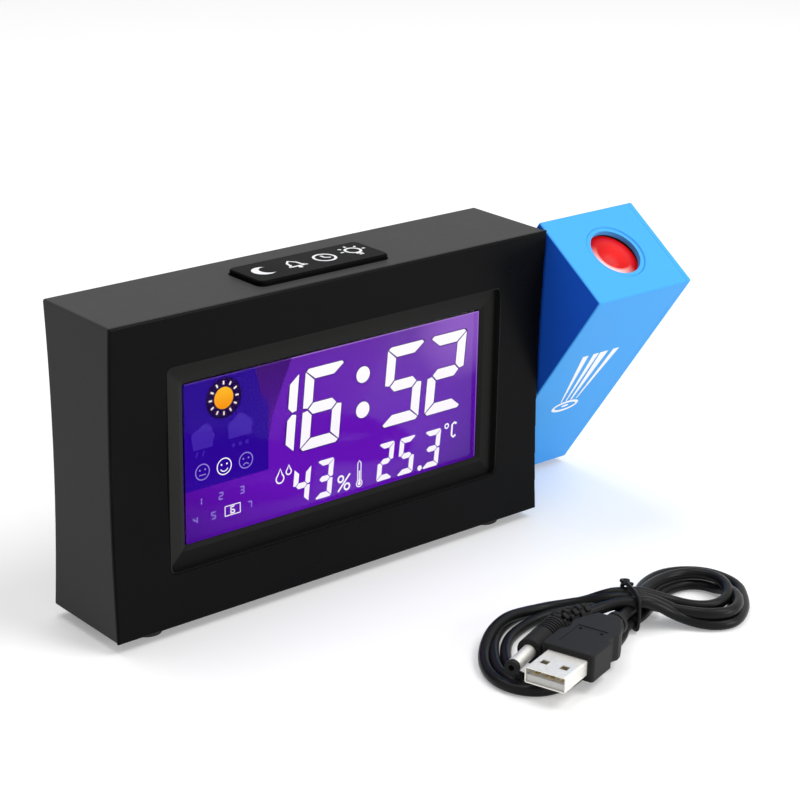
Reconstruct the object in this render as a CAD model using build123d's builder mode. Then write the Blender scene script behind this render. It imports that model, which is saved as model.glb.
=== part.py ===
from build123d import *
import os
from math import cos, pi, radians, sin, sqrt

os.makedirs("parts", exist_ok=True)

# Projection alarm clock, millimetres, +Z up, front towards -Y.
# Origin: middle of the footprint, on the table. The projector block is shown turned forward.

# ---------------------------------------------------------------- driving dimensions
BODY_W = 154.4          # clock body, along X
BODY_H = 90.0
BODY_D = 33.0           # at its top and bottom edges
FRONT_SAG = 1.5         # how far the waisted front goes in at mid height
REAR_SAG = 2.2
FOOT_H = 3.2
WALL = 2.0
EDGE_R = 0.7            # rounding of the outer edges

BLOCK_W = 39.5          # projector block, along X
BLOCK_D = 33.0
BLOCK_H = 90.0
BLOCK_WALL = 2.0
BLOCK_GAP = 0.8         # between the body and the block
BLOCK_TILT = 34.5       # degrees forward of upright

FIT = 0.15              # clearance of parts that are set into each other
GAP = 0.3               # clearance of parts that move past each other
RUN = 0.05              # radial clearance of the pivot
TOUCH = 0.05            # between stacked parts

COVER_T = 2.0           # front cover
COVER_RIM = 1.0         # what shows of its edge on the sides
COVER_ROUND = 0.5
SEAM = 0.08
LIP_T = 1.2
LIP_DEPTH = 1.6

DISPLAY_OFF_X = 0.55    # display centre from the body's centre
DISPLAY_OFF_Z = 0.3
BEZEL_W = 119.5
BEZEL_H = 60.0
BEZEL_R = 2.0
BEZEL_RIM = 0.35        # flat rim outside the bevel
BEZEL_PROUD = 0.5       # above the waisted front at mid height
BEVEL_DEPTH = 2.6
WINDOW_W = 107.0        # opening
WINDOW_H = 47.4
WINDOW_STEP = 0.25
WINDOW_LAP = 1.9        # window hidden under the bezel, each side
WINDOW_T = 1.0
FLANGE_LAP = 1.6
FLANGE_T = 1.2

LCD_T = 2.2
LCD_LAP = 1.3           # glass beyond the opening, each side
LCD_LEDGE = 4.0         # contact ledge below the picture
GUIDE_T = 3.0
GUIDE_LAP = 0.6
FRAME_WALL = 1.6
FRAME_BACK = 1.0
STRIP_T = 1.6           # backlight strip beside the light guide
ZEBRA_T = 2.2

BOARD_W = 133.0
BOARD_H = 60.0
BOARD_T = 1.6
SMALL_BOARD_T = 1.2

BUTTON_W = 45.8
BUTTON_D = 16.1
BUTTON_PROUD = 1.5
BUTTON_R = 2.2
BUTTON_OFF_X = -1.85    # from the body's centre
BUTTON_BACK = 13.9      # its middle behind the body's front edge
BUTTON_SKIN = 1.5
BUTTON_STEM_R = 2.4
BUTTON_TRAVEL = 0.8
FLANGE_EDGE = 1.4       # button flange beyond its opening

KEYS = 6
KEY_PITCH = 15.0
KEY_W = 9.0
KEY_H = 5.5
KEY_PROUD = 1.1
KEY_TRAVEL = 0.5
KEY_DROP = 16.0         # key row below the body's top
REST_GAP = 0.1          # between a resting button and its switch

SWITCH_W = 6.0
SWITCH_H = 3.5
PLUNGER_H = 0.9
PLUNGER_R = 1.7

CELL_R = 5.25           # AAA
CELL_L = 44.5
CONTACT_T = 0.4
BAY_X = -20.0
BAY_UP = 19.5           # battery bay centre above the body's bottom
BAY_W = 54.0
BAY_WALL = 1.3
CELL_GAP = 0.7          # between the two cells
CELL_PLAY = 0.7         # between a cell and the door
NUB_R = 1.9
NUB_L = 1.0
CONTACT_W = 9.0
DOOR_LAP = 1.8
DOOR_T = 1.6
DOOR_RIB_W = 24.0
DOOR_RIB_T = 1.0
DOOR_RIB_OUT = 1.8

SHAFT_R = 8.0
SHAFT_BORE_R = 4.5
HUB_LAP = 0.7           # hub beyond the retainer, all round
HUB_DEPTH = 2.2
WASHER_T = 0.6
RETAINER_ROOM = 1.0     # between the retainer and the rear wall
RETAINER_T = 1.8
RETAINER_SCREW_IN = 1.6 # its screws inside the shaft's outline

LENS_R = 8.9
APERTURE_R = 9.8
LENS_DOME = 2.6
LENS_SINK = 0.5         # dome's top below the block's top face
TUBE_WALL = 1.2
TUBE_LEN = 34.0

JACK_X = 38.0
JACK_UP = 16.0
JACK_NOSE_R = 3.1
JACK_BODY = 9.0
JACK_LEN = 11.0
JACK_BORE = 8.5
PLUG_R = 2.0            # 4.0 mm barrel plug
PIN_R = 0.8

BUZZER_OFF_X = 22.0     # from the body's left side
BUZZER_UP = 29.0
BUZZER_R = 9.5
BUZZER_T = 3.2
BUZZER_HOLE_R = 7.0
SOUND_HOLE_R = 0.9
SOUND_RING = 3.2        # radius of the first ring of sound holes

SENSOR_OFF_X = 13.0     # from the body's left side
SENSOR_UP = 60.0
SENSOR_W = 10.0
SENSOR_LOW = 12.5       # its board below and above the slots' middle
SENSOR_HIGH = 6.0
SENSOR_BACK = 5.0       # behind the wall
VENT_L = 12.0
VENT_W = 1.4
VENT_PITCH = 3.2

FOOT_R = 4.5
FOOT_INSET_X = 14.5
FOOT_Y = 8.0

SCREW_R = 1.25
SCREW_HEAD_R = 2.4
SCREW_HEAD_T = 1.8
SCREW_L = 10.0          # under the head
SMALL_SCREW_R = 0.9
SMALL_HEAD_R = 1.7
SMALL_HEAD_T = 1.3
SMALL_SCREW_L = 5.0
POST_INSET = 8.0

CORD_D = 3.2
LEAD_X = 25.6           # the tied middle of the lead, on the table
LEAD_Y = -88.15
LEAD_TURN = -39.97      # degrees, the lead's own long axis from +X

# ---------------------------------------------------------------- derived places
TOTAL_W = BODY_W + BLOCK_GAP + BLOCK_W
X_LEFT = -TOTAL_W / 2
X_RIGHT = X_LEFT + BODY_W
X_MID = (X_LEFT + X_RIGHT) / 2
BLOCK_X = X_RIGHT + BLOCK_GAP
Z_BOTTOM = FOOT_H
Z_TOP = FOOT_H + BODY_H
PIVOT_Z = FOOT_H + BODY_H / 2
Y_FRONT = -BODY_D / 2
Y_REAR = BODY_D / 2

DISPLAY_X = X_MID + DISPLAY_OFF_X
DISPLAY_Z = PIVOT_Z + DISPLAY_OFF_Z


def sagged(z, sag):
    """How far a waisted face has gone in at height z: all of sag at mid height."""
    half = BODY_H / 2
    radius = (half * half + sag * sag) / (2 * sag)
    return sag - (radius - sqrt(radius * radius - (z - PIVOT_Z) ** 2))


def front_y(z):
    return Y_FRONT + sagged(z, FRONT_SAG)


def rear_y(z):
    return Y_REAR - sagged(z, REAR_SAG)


def section(front, rear, z0, z1):
    """Face in a YZ sketch. front and rear are (face function, shift) of its curved sides."""
    z_mid = (z0 + z1) / 2

    def arc(side, low, high):
        face, shift = side
        ThreePointArc(*[(face(z) + shift, z) for z in (low, z_mid, high)])

    with BuildLine(mode=Mode.PRIVATE) as outline:
        arc(front, z0, z1)
        Line((front[0](z1) + front[1], z1), (rear[0](z1) + rear[1], z1))
        arc(rear, z1, z0)
        Line((rear[0](z0) + rear[1], z0), (front[0](z0) + front[1], z0))
    make_face(outline.edges())


def waisted(front, rear, inset=0.0, x_inset=0.0, mode=Mode.ADD):
    """Bar with the waisted section, all along the body, inset from its ends and top."""
    with BuildSketch(Plane.YZ.offset(X_LEFT + x_inset), mode=Mode.PRIVATE) as profile:
        section(front, rear, Z_BOTTOM + inset, Z_TOP - inset)
    extrude(profile.sketch, amount=BODY_W - 2 * x_inset, mode=mode)


def bar(x0, x1, y0, y1, z0, z1, mode=Mode.ADD):
    with Locations(((x0 + x1) / 2, (y0 + y1) / 2, (z0 + z1) / 2)):
        Box(x1 - x0, y1 - y0, z1 - z0, mode=mode)


def rod_x(y, z, r, x0, x1, mode=Mode.ADD):
    with Locations(((x0 + x1) / 2, y, z)):
        Cylinder(r, x1 - x0, rotation=(0, 90, 0), mode=mode)


def rod_y(x, z, r, y0, y1, mode=Mode.ADD):
    with Locations((x, (y0 + y1) / 2, z)):
        Cylinder(r, y1 - y0, rotation=(90, 0, 0), mode=mode)


def rod_z(x, y, r, z0, z1, mode=Mode.ADD):
    with Locations((x, y, (z0 + z1) / 2)):
        Cylinder(r, z1 - z0, mode=mode)


def at_y(y):
    """Sketch plane facing the front, local x along X and local y along Z."""
    return Plane.XZ.offset(-y)


def keep(part, name):
    part.label = name
    export_step(part, f"parts/{name}.step")


# display stack, front to back
BEZEL_Y = front_y(PIVOT_Z) - BEZEL_PROUD
BEVEL_Y = BEZEL_Y + BEVEL_DEPTH
WINDOW_Y = BEVEL_Y + WINDOW_STEP
LCD_Y = WINDOW_Y + WINDOW_T + TOUCH
POCKET_Y = front_y(DISPLAY_Z + BEZEL_H / 2) + COVER_T
FLANGE_W = BEZEL_W + 2 * FLANGE_LAP
FLANGE_H = BEZEL_H + 2 * FLANGE_LAP
GUIDE_Y = LCD_Y + LCD_T + TOUCH
FRAME_BACK_Y = GUIDE_Y + GUIDE_T + TOUCH
BOARD_Y = FRAME_BACK_Y + FRAME_BACK + TOUCH
BOARD_BACK = BOARD_Y + BOARD_T
LCD_X0 = DISPLAY_X - WINDOW_W / 2 - LCD_LAP
LCD_X1 = DISPLAY_X + WINDOW_W / 2 + LCD_LAP
LCD_Z0 = DISPLAY_Z - WINDOW_H / 2 - LCD_LEDGE
LCD_Z1 = DISPLAY_Z + WINDOW_H / 2 + LCD_LAP
GUIDE_X0 = DISPLAY_X - WINDOW_W / 2 - GUIDE_LAP
GUIDE_X1 = DISPLAY_X + WINDOW_W / 2 + GUIDE_LAP
GUIDE_Z0 = DISPLAY_Z - WINDOW_H / 2 - GUIDE_LAP
GUIDE_Z1 = DISPLAY_Z + WINDOW_H / 2 + GUIDE_LAP
STRIP_X0 = GUIDE_X0 - TOUCH - STRIP_T
POCKET_X0 = STRIP_X0 - FIT
ZEBRA_Z0 = GUIDE_Z0 - TOUCH - FIT - ZEBRA_T
BOARD_POST_R = 2.4
BOARD_POST_IN = 4.0     # board posts in from the board's upper and lower edges
BOARD_POSTS = [
    (DISPLAY_X + sx * (BOARD_W / 2 - BOARD_POST_R), DISPLAY_Z + sz * (BOARD_H / 2 - BOARD_POST_IN))
    for sx in (-1, 1)
    for sz in (-1, 1)
]
CASE_POSTS = [
    (x, z)
    for x in (X_LEFT + POST_INSET, X_RIGHT - POST_INSET)
    for z in (Z_BOTTOM + POST_INSET, Z_TOP - POST_INSET)
]
POST_R = 3.2
BOSS_R = 3.8
BOSS_Y = 4.0            # where a case boss meets its cover post
HEAD_Y = 6.5            # seat of a case screw's head

# snooze button and what is under it
BUTTON_X = X_MID + BUTTON_OFF_X
BUTTON_Y = Y_FRONT + BUTTON_BACK
BUTTON_FLANGE_Z = Z_TOP - WALL - TOUCH
BUTTON_FLANGE_T = 1.0
SNOOZE_DROP = 10.2      # snooze board below the body's top
SNOOZE_BOARD_Z = Z_TOP - SNOOZE_DROP
SNOOZE_SWITCH_Z = SNOOZE_BOARD_Z + SMALL_BOARD_T
SNOOZE_TIP_Z = SNOOZE_SWITCH_Z + SWITCH_H + PLUNGER_H
SNOOZE_BOARD_W = BUTTON_W + 16.0
SNOOZE_BOARD_D = 10.0
PILLAR_IN = 3.4
SNOOZE_PILLARS = [BUTTON_X + side * (SNOOZE_BOARD_W / 2 - PILLAR_IN) for side in (-1, 1)]
PILLAR_R = 2.3

# rear keys and what is behind them
KEY_Z = Z_TOP - KEY_DROP
KEY_X = [BAY_X + (i - (KEYS - 1) / 2) * KEY_PITCH for i in range(KEYS)]
KEY_WALL_Y = rear_y(KEY_Z) - WALL
KEY_FLANGE_T = 1.0
KEY_FLANGE_Y = KEY_WALL_Y - TOUCH - GAP
KEY_SWITCH_Y = KEY_FLANGE_Y - KEY_FLANGE_T - KEY_TRAVEL - REST_GAP - PLUNGER_H - SWITCH_H
KEY_BOARD_Y = KEY_SWITCH_Y - SMALL_BOARD_T
KEY_BOARD_END = 12.0    # board beyond the last key's middle
KEY_BOARD_W = (KEYS - 1) * KEY_PITCH + 2 * KEY_BOARD_END
KEY_BOARD_H = 11.0
KEY_PILLARS = [BAY_X + side * (KEY_BOARD_W / 2 - PILLAR_IN) for side in (-1, 0, 1)]
KEY_PILLAR_R = 1.8
KEY_LAP = 1.0           # key flange beyond the key, each side

# battery bay
BAY_Z = Z_BOTTOM + BAY_UP
CELL_PITCH = 2 * CELL_R + CELL_GAP
BAY_H = 2 * (CELL_PITCH + CELL_GAP)
BAY_X0 = BAY_X - BAY_W / 2
BAY_X1 = BAY_X + BAY_W / 2
DOOR_W = BAY_W + 2 * DOOR_LAP
DOOR_H = BAY_H + 2 * DOOR_LAP
CELL_Y = rear_y(BAY_Z) - DOOR_T - CELL_PLAY - CELL_R
BAY_FLOOR = CELL_Y - CELL_R - GAP

# dc jack, buzzer and room sensor
JACK_Z = Z_BOTTOM + JACK_UP
JACK_WALL_Y = rear_y(JACK_Z) - WALL
JACK_Y = JACK_WALL_Y - GAP
BUZZER_X = X_LEFT + BUZZER_OFF_X
BUZZER_Z = Z_BOTTOM + BUZZER_UP
BUZZER_WALL_Y = rear_y(BUZZER_Z + BUZZER_R) - WALL
SENSOR_X = X_LEFT + SENSOR_OFF_X
SENSOR_Z = Z_BOTTOM + SENSOR_UP
SENSOR_Y = rear_y(SENSOR_Z) - WALL - SENSOR_BACK
SENSOR_SEAT_Y = SENSOR_Y + SMALL_BOARD_T + TOUCH

# pivot, held between the waisted walls
RETAINER_R = rear_y(PIVOT_Z) - WALL - RETAINER_ROOM
HUB_R = RETAINER_R + HUB_LAP

# ---------------------------------------------------------------- clock body
with BuildPart() as rear_case:
    waisted((front_y, COVER_RIM + SEAM), (rear_y, 0))
    fillet(rear_case.edges().filter_by(lambda e: e.center().Y > Y_FRONT + 5), EDGE_R)
    waisted((front_y, -1), (rear_y, -WALL), inset=WALL, x_inset=WALL, mode=Mode.SUBTRACT)
    # screw bosses at the corners
    for x, z in CASE_POSTS:
        rod_y(x, z, BOSS_R, BOSS_Y, rear_y(z) - WALL / 2)
    # battery bay: a box sunk into the rear wall, and the seat of its door
    bar(BAY_X0 - DOOR_LAP - BAY_WALL, BAY_X1 + DOOR_LAP + BAY_WALL,
        BAY_FLOOR - BAY_WALL, rear_y(BAY_Z) - WALL / 2,
        BAY_Z - DOOR_H / 2 - BAY_WALL, BAY_Z + DOOR_H / 2 + BAY_WALL)
    # pivot hub in the right wall
    rod_x(0, PIVOT_Z, HUB_R, X_RIGHT - WALL - HUB_DEPTH, X_RIGHT - WALL / 2)
    # pillars of the snooze board and of the key board
    for x in SNOOZE_PILLARS:
        rod_z(x, BUTTON_Y, PILLAR_R, SNOOZE_SWITCH_Z + TOUCH, Z_TOP - WALL / 2)
    for x in KEY_PILLARS:
        rod_y(x, KEY_Z, KEY_PILLAR_R, KEY_SWITCH_Y + TOUCH, rear_y(KEY_Z) - WALL / 2)
    # ring that holds the buzzer, rib that carries the room sensor, cradle of the jack
    rod_y(BUZZER_X, BUZZER_Z, BUZZER_R + FIT + 1.0, BUZZER_WALL_Y - BUZZER_T,
          rear_y(BUZZER_Z) - WALL / 2)
    rod_y(BUZZER_X, BUZZER_Z, BUZZER_R + FIT, BUZZER_WALL_Y - BUZZER_T - 1,
          rear_y(BUZZER_Z) - WALL + 0.02, mode=Mode.SUBTRACT)
    bar(SENSOR_X - LIP_T, SENSOR_X + LIP_T, SENSOR_SEAT_Y, rear_y(SENSOR_Z) - WALL / 2,
        SENSOR_Z - SENSOR_LOW, SENSOR_Z - SENSOR_LOW + 3)
    bar(SENSOR_X - 4, SENSOR_X + 4, SENSOR_SEAT_Y, SENSOR_SEAT_Y + LIP_T,
        SENSOR_Z - SENSOR_LOW, SENSOR_Z - VENT_L / 2)
    for side in (-1, 1):
        bar(*sorted((JACK_X + side * (JACK_BODY / 2 + FIT),
                     JACK_X + side * (JACK_BODY / 2 + FIT + LIP_T))),
            JACK_Y - JACK_LEN / 2, JACK_WALL_Y + WALL / 2,
            JACK_Z - JACK_BODY / 2, JACK_Z + JACK_BODY / 2)
    # openings
    for x, z in CASE_POSTS:
        rod_y(x, z, SCREW_HEAD_R + GAP, HEAD_Y, Y_REAR + 1, mode=Mode.SUBTRACT)
        rod_y(x, z, SCREW_R + FIT, BOSS_Y - 1, HEAD_Y + 1, mode=Mode.SUBTRACT)
    bar(BAY_X0, BAY_X1, BAY_FLOOR, Y_REAR + 1, BAY_Z - BAY_H / 2, BAY_Z + BAY_H / 2,
        mode=Mode.SUBTRACT)
    with BuildSketch(Plane.YZ.offset(BAY_X - DOOR_W / 2 - FIT)):
        section((rear_y, -DOOR_T - FIT), (rear_y, 1),
                BAY_Z - DOOR_H / 2 - FIT, BAY_Z + DOOR_H / 2 + FIT)
    extrude(amount=DOOR_W + 2 * FIT, mode=Mode.SUBTRACT)
    rod_x(0, PIVOT_Z, SHAFT_R + RUN, X_RIGHT - 10, X_RIGHT + 1, mode=Mode.SUBTRACT)
    with BuildSketch(Plane.XY.offset(Z_TOP - WALL - 1)):
        with Locations((BUTTON_X, BUTTON_Y)):
            RectangleRounded(BUTTON_W + 2 * GAP, BUTTON_D + 2 * GAP, BUTTON_R + GAP)
    extrude(amount=WALL + 2, mode=Mode.SUBTRACT)
    with BuildSketch(at_y(KEY_WALL_Y - 1)):
        with Locations(*[(x, KEY_Z) for x in KEY_X]):
            RectangleRounded(KEY_W + 2 * GAP, KEY_H + 2 * GAP, KEY_H / 2 + GAP - 0.01)
    extrude(amount=-(WALL + 4), mode=Mode.SUBTRACT)
    rod_y(JACK_X, JACK_Z, JACK_NOSE_R + FIT, JACK_Y - 1, Y_REAR + 1, mode=Mode.SUBTRACT)
    for x in SNOOZE_PILLARS:
        rod_z(x, BUTTON_Y, SMALL_SCREW_R + TOUCH, SNOOZE_SWITCH_Z - 1, SNOOZE_SWITCH_Z + 6,
              mode=Mode.SUBTRACT)
    for x in KEY_PILLARS:
        rod_y(x, KEY_Z, SMALL_SCREW_R + TOUCH, KEY_SWITCH_Y - 1, KEY_SWITCH_Y + 5,
              mode=Mode.SUBTRACT)
    # sound holes, and vent slots by the room sensor
    with BuildSketch(at_y(BUZZER_WALL_Y - 1)):
        with Locations((BUZZER_X, BUZZER_Z)):
            Circle(SOUND_HOLE_R)
            for ring in (1, 2):
                with PolarLocations(ring * SOUND_RING, 6 * ring):
                    Circle(SOUND_HOLE_R)
    extrude(amount=-(WALL + 4), mode=Mode.SUBTRACT)
    with BuildSketch(at_y(SENSOR_Y + 3)):
        with Locations((SENSOR_X, SENSOR_Z)):
            with GridLocations(VENT_PITCH, 1, 3, 1):
                SlotOverall(VENT_L, VENT_W, rotation=90)
    extrude(amount=-10, mode=Mode.SUBTRACT)
keep(rear_case.part, "rear_case")

with BuildPart() as front_cover:
    waisted((front_y, 0), (front_y, COVER_RIM))
    fillet(front_cover.faces().sort_by(lambda f: f.normal_at().Y)[0].edges(), COVER_ROUND)
    waisted((front_y, COVER_RIM / 2), (front_y, COVER_T), inset=WALL + FIT, x_inset=WALL + FIT)
    waisted((front_y, COVER_RIM / 2), (front_y, COVER_T + LIP_DEPTH),
            inset=WALL + FIT, x_inset=WALL + FIT)
    waisted((front_y, COVER_T), (front_y, COVER_T + LIP_DEPTH + 1),
            inset=WALL + FIT + LIP_T, x_inset=WALL + FIT + LIP_T, mode=Mode.SUBTRACT)
    for x, z in CASE_POSTS:
        rod_y(x, z, POST_R, front_y(z) + COVER_T / 2, BOSS_Y - TOUCH)
        rod_y(x, z, SCREW_R + TOUCH, BOSS_Y - 10, BOSS_Y + 1, mode=Mode.SUBTRACT)
    for x, z in BOARD_POSTS:
        rod_y(x, z, BOARD_POST_R, front_y(z) + COVER_T / 2, BOARD_Y - TOUCH)
        rod_y(x, z, SMALL_SCREW_R + TOUCH, BOARD_Y - 6, BOARD_Y + 1, mode=Mode.SUBTRACT)
    # the lip leaves room for the pivot hub
    bar(X_RIGHT - WALL - FIT - LIP_T - 1, X_RIGHT - WALL, front_y(PIVOT_Z) + COVER_T, 0,
        PIVOT_Z - HUB_R - 1, PIVOT_Z + HUB_R + 1, mode=Mode.SUBTRACT)
    # flat seat of the bezel's flange, then the opening
    bar(DISPLAY_X - FLANGE_W / 2 - FIT, DISPLAY_X + FLANGE_W / 2 + FIT, POCKET_Y, POCKET_Y + 2,
        DISPLAY_Z - FLANGE_H / 2 - FIT, DISPLAY_Z + FLANGE_H / 2 + FIT, mode=Mode.SUBTRACT)
    with BuildSketch(at_y(Y_FRONT - 1)):
        with Locations((DISPLAY_X, DISPLAY_Z)):
            RectangleRounded(BEZEL_W + 2 * FIT, BEZEL_H + 2 * FIT, BEZEL_R + FIT)
    extrude(amount=-6, mode=Mode.SUBTRACT)
keep(front_cover.part, "front_cover")

# ---------------------------------------------------------------- display
with BuildPart() as display_bezel:
    with BuildSketch(at_y(BEZEL_Y)):
        with Locations((DISPLAY_X, DISPLAY_Z)):
            RectangleRounded(BEZEL_W, BEZEL_H, BEZEL_R)
    extrude(amount=-(LCD_Y - TOUCH - BEZEL_Y))
    bar(DISPLAY_X - FLANGE_W / 2, DISPLAY_X + FLANGE_W / 2, POCKET_Y + TOUCH,
        POCKET_Y + TOUCH + FLANGE_T, DISPLAY_Z - FLANGE_H / 2, DISPLAY_Z + FLANGE_H / 2)
    with BuildSketch(at_y(BEZEL_Y)) as bevel_outer:
        with Locations((DISPLAY_X, DISPLAY_Z)):
            RectangleRounded(BEZEL_W - 2 * BEZEL_RIM, BEZEL_H - 2 * BEZEL_RIM, BEZEL_R - BEZEL_RIM)
    with BuildSketch(at_y(BEVEL_Y)) as bevel_inner:
        with Locations((DISPLAY_X, DISPLAY_Z)):
            RectangleRounded(WINDOW_W, WINDOW_H, BEZEL_R / 2)
    loft(sections=[bevel_outer.sketch, bevel_inner.sketch], mode=Mode.SUBTRACT)
    with BuildSketch(at_y(BEVEL_Y - 0.01)):
        with Locations((DISPLAY_X, DISPLAY_Z)):
            RectangleRounded(WINDOW_W, WINDOW_H, BEZEL_R / 2)
    extrude(amount=-2, mode=Mode.SUBTRACT)
    bar(DISPLAY_X - WINDOW_W / 2 - WINDOW_LAP - FIT, DISPLAY_X + WINDOW_W / 2 + WINDOW_LAP + FIT,
        WINDOW_Y, LCD_Y + 1,
        DISPLAY_Z - WINDOW_H / 2 - WINDOW_LAP - FIT, DISPLAY_Z + WINDOW_H / 2 + WINDOW_LAP + FIT,
        mode=Mode.SUBTRACT)
keep(display_bezel.part, "display_bezel")

with BuildPart() as display_window:
    bar(DISPLAY_X - WINDOW_W / 2 - WINDOW_LAP, DISPLAY_X + WINDOW_W / 2 + WINDOW_LAP,
        WINDOW_Y, WINDOW_Y + WINDOW_T,
        DISPLAY_Z - WINDOW_H / 2 - WINDOW_LAP, DISPLAY_Z + WINDOW_H / 2 + WINDOW_LAP)
keep(display_window.part, "display_window")

with BuildPart() as lcd_panel:
    bar(LCD_X0, LCD_X1, LCD_Y, LCD_Y + LCD_T / 2, LCD_Z0 + 2.6, LCD_Z1)
    bar(LCD_X0, LCD_X1, LCD_Y + LCD_T / 2, LCD_Y + LCD_T, LCD_Z0, LCD_Z1)
keep(lcd_panel.part, "lcd_panel")

FRAME_X0 = POCKET_X0 - FRAME_WALL
FRAME_X1 = LCD_X1 + FIT + FRAME_WALL
FRAME_Z0 = LCD_Z0 - FIT - FRAME_WALL
FRAME_Z1 = LCD_Z1 + FIT + FRAME_WALL
with BuildPart() as lcd_frame:
    bar(FRAME_X0, FRAME_X1, LCD_Y, BOARD_Y - TOUCH, FRAME_Z0, FRAME_Z1)
    bar(LCD_X0 - FIT, LCD_X1 + FIT, LCD_Y - 1, GUIDE_Y, LCD_Z0 - FIT, LCD_Z1 + FIT,
        mode=Mode.SUBTRACT)
    bar(POCKET_X0, GUIDE_X1 + FIT, GUIDE_Y - 1, FRAME_BACK_Y, GUIDE_Z0 - FIT, GUIDE_Z1 + FIT,
        mode=Mode.SUBTRACT)
    bar(LCD_X0 + 3, LCD_X1 - 3, GUIDE_Y - 1, BOARD_Y + 1, ZEBRA_Z0 - FIT,
        ZEBRA_Z0 + ZEBRA_T + FIT, mode=Mode.SUBTRACT)
keep(lcd_frame.part, "lcd_frame")

with BuildPart() as light_guide:
    bar(GUIDE_X0, GUIDE_X1, GUIDE_Y, GUIDE_Y + GUIDE_T, GUIDE_Z0, GUIDE_Z1)
keep(light_guide.part, "light_guide")

with BuildPart() as backlight_strip:
    bar(STRIP_X0, STRIP_X0 + 0.8, GUIDE_Y, GUIDE_Y + GUIDE_T, DISPLAY_Z - 21, DISPLAY_Z + 21)
    with Locations(*[(STRIP_X0 + 1.1, GUIDE_Y + GUIDE_T / 2, DISPLAY_Z + 8.0 * i)
                     for i in range(-2, 3)]):
        Box(STRIP_T - 0.6, 1.6, 3.2)
keep(backlight_strip.part, "backlight_strip")

with BuildPart() as zebra_strip:
    bar(LCD_X0 + 3 + FIT, LCD_X1 - 3 - FIT, GUIDE_Y, BOARD_Y - TOUCH, ZEBRA_Z0,
        ZEBRA_Z0 + ZEBRA_T)
keep(zebra_strip.part, "zebra_strip")

# ---------------------------------------------------------------- main board
with BuildPart() as main_board:
    bar(DISPLAY_X - BOARD_W / 2, DISPLAY_X + BOARD_W / 2, BOARD_Y, BOARD_BACK,
        DISPLAY_Z - BOARD_H / 2, DISPLAY_Z + BOARD_H / 2)
    for x, z in BOARD_POSTS:
        rod_y(x, z, SMALL_SCREW_R + FIT, BOARD_Y - 1, BOARD_BACK + 1, mode=Mode.SUBTRACT)
keep(main_board.part, "main_board")

with BuildPart() as board_parts:
    # bonded chip under its resin drop, crystal can, two capacitors and the cable socket
    with BuildSketch(at_y(BOARD_BACK)):
        with Locations((DISPLAY_X - 8, DISPLAY_Z + 6)):
            Circle(7.5)
    extrude(amount=-1.5, taper=38)
    rod_y(DISPLAY_X - 26, DISPLAY_Z + 14, 1.5, BOARD_BACK, BOARD_BACK + 3.0)
    for dx in (12, 20):
        rod_y(DISPLAY_X + dx, DISPLAY_Z + 16, 2.5, BOARD_BACK, BOARD_BACK + 2.6)
    bar(DISPLAY_X + 44, DISPLAY_X + 54, BOARD_BACK, BOARD_BACK + 3.4,
        DISPLAY_Z - 3, DISPLAY_Z + 3)
keep(board_parts.part, "board_parts")

with BuildPart() as board_screws:
    for x, z in BOARD_POSTS:
        rod_y(x, z, SMALL_HEAD_R, BOARD_BACK, BOARD_BACK + SMALL_HEAD_T)
        rod_y(x, z, SMALL_SCREW_R, BOARD_BACK - SMALL_SCREW_L, BOARD_BACK + 0.5)
    for x in SNOOZE_PILLARS:
        rod_z(x, BUTTON_Y, SMALL_HEAD_R, SNOOZE_BOARD_Z - SMALL_HEAD_T, SNOOZE_BOARD_Z)
        rod_z(x, BUTTON_Y, SMALL_SCREW_R, SNOOZE_BOARD_Z - 0.5, SNOOZE_BOARD_Z + SMALL_SCREW_L)
    for x in KEY_PILLARS:
        rod_y(x, KEY_Z, SMALL_HEAD_R, KEY_BOARD_Y - SMALL_HEAD_T, KEY_BOARD_Y)
        rod_y(x, KEY_Z, SMALL_SCREW_R, KEY_BOARD_Y - 0.5, KEY_BOARD_Y + SMALL_SCREW_L)
keep(board_screws.part, "board_screws")

# ---------------------------------------------------------------- snooze button
with BuildPart() as snooze_button:
    with BuildSketch(Plane.XY.offset(BUTTON_FLANGE_Z - BUTTON_FLANGE_T)):
        with Locations((BUTTON_X, BUTTON_Y)):
            RectangleRounded(BUTTON_W, BUTTON_D, BUTTON_R)
    extrude(amount=Z_TOP + BUTTON_PROUD - BUTTON_FLANGE_Z + BUTTON_FLANGE_T)
    fillet(snooze_button.faces().sort_by(Axis.Z)[-1].edges(), 0.6)
    with BuildSketch(Plane.XY.offset(BUTTON_FLANGE_Z - BUTTON_FLANGE_T)):
        with Locations((BUTTON_X, BUTTON_Y)):
            RectangleRounded(BUTTON_W + 2 * (GAP + FLANGE_EDGE), BUTTON_D + 2 * (GAP + FLANGE_EDGE),
                             BUTTON_R)
    extrude(amount=BUTTON_FLANGE_T)
    bar(BUTTON_X - BUTTON_W / 2 + BUTTON_SKIN, BUTTON_X + BUTTON_W / 2 - BUTTON_SKIN,
        BUTTON_Y - BUTTON_D / 2 + BUTTON_SKIN, BUTTON_Y + BUTTON_D / 2 - BUTTON_SKIN,
        BUTTON_FLANGE_Z - BUTTON_FLANGE_T - 1, Z_TOP + BUTTON_PROUD - BUTTON_SKIN,
        mode=Mode.SUBTRACT)
    rod_z(BUTTON_X, BUTTON_Y, BUTTON_STEM_R, SNOOZE_TIP_Z + BUTTON_TRAVEL + REST_GAP,
          Z_TOP + BUTTON_PROUD - BUTTON_SKIN / 2)
keep(snooze_button.part, "snooze_button")

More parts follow.
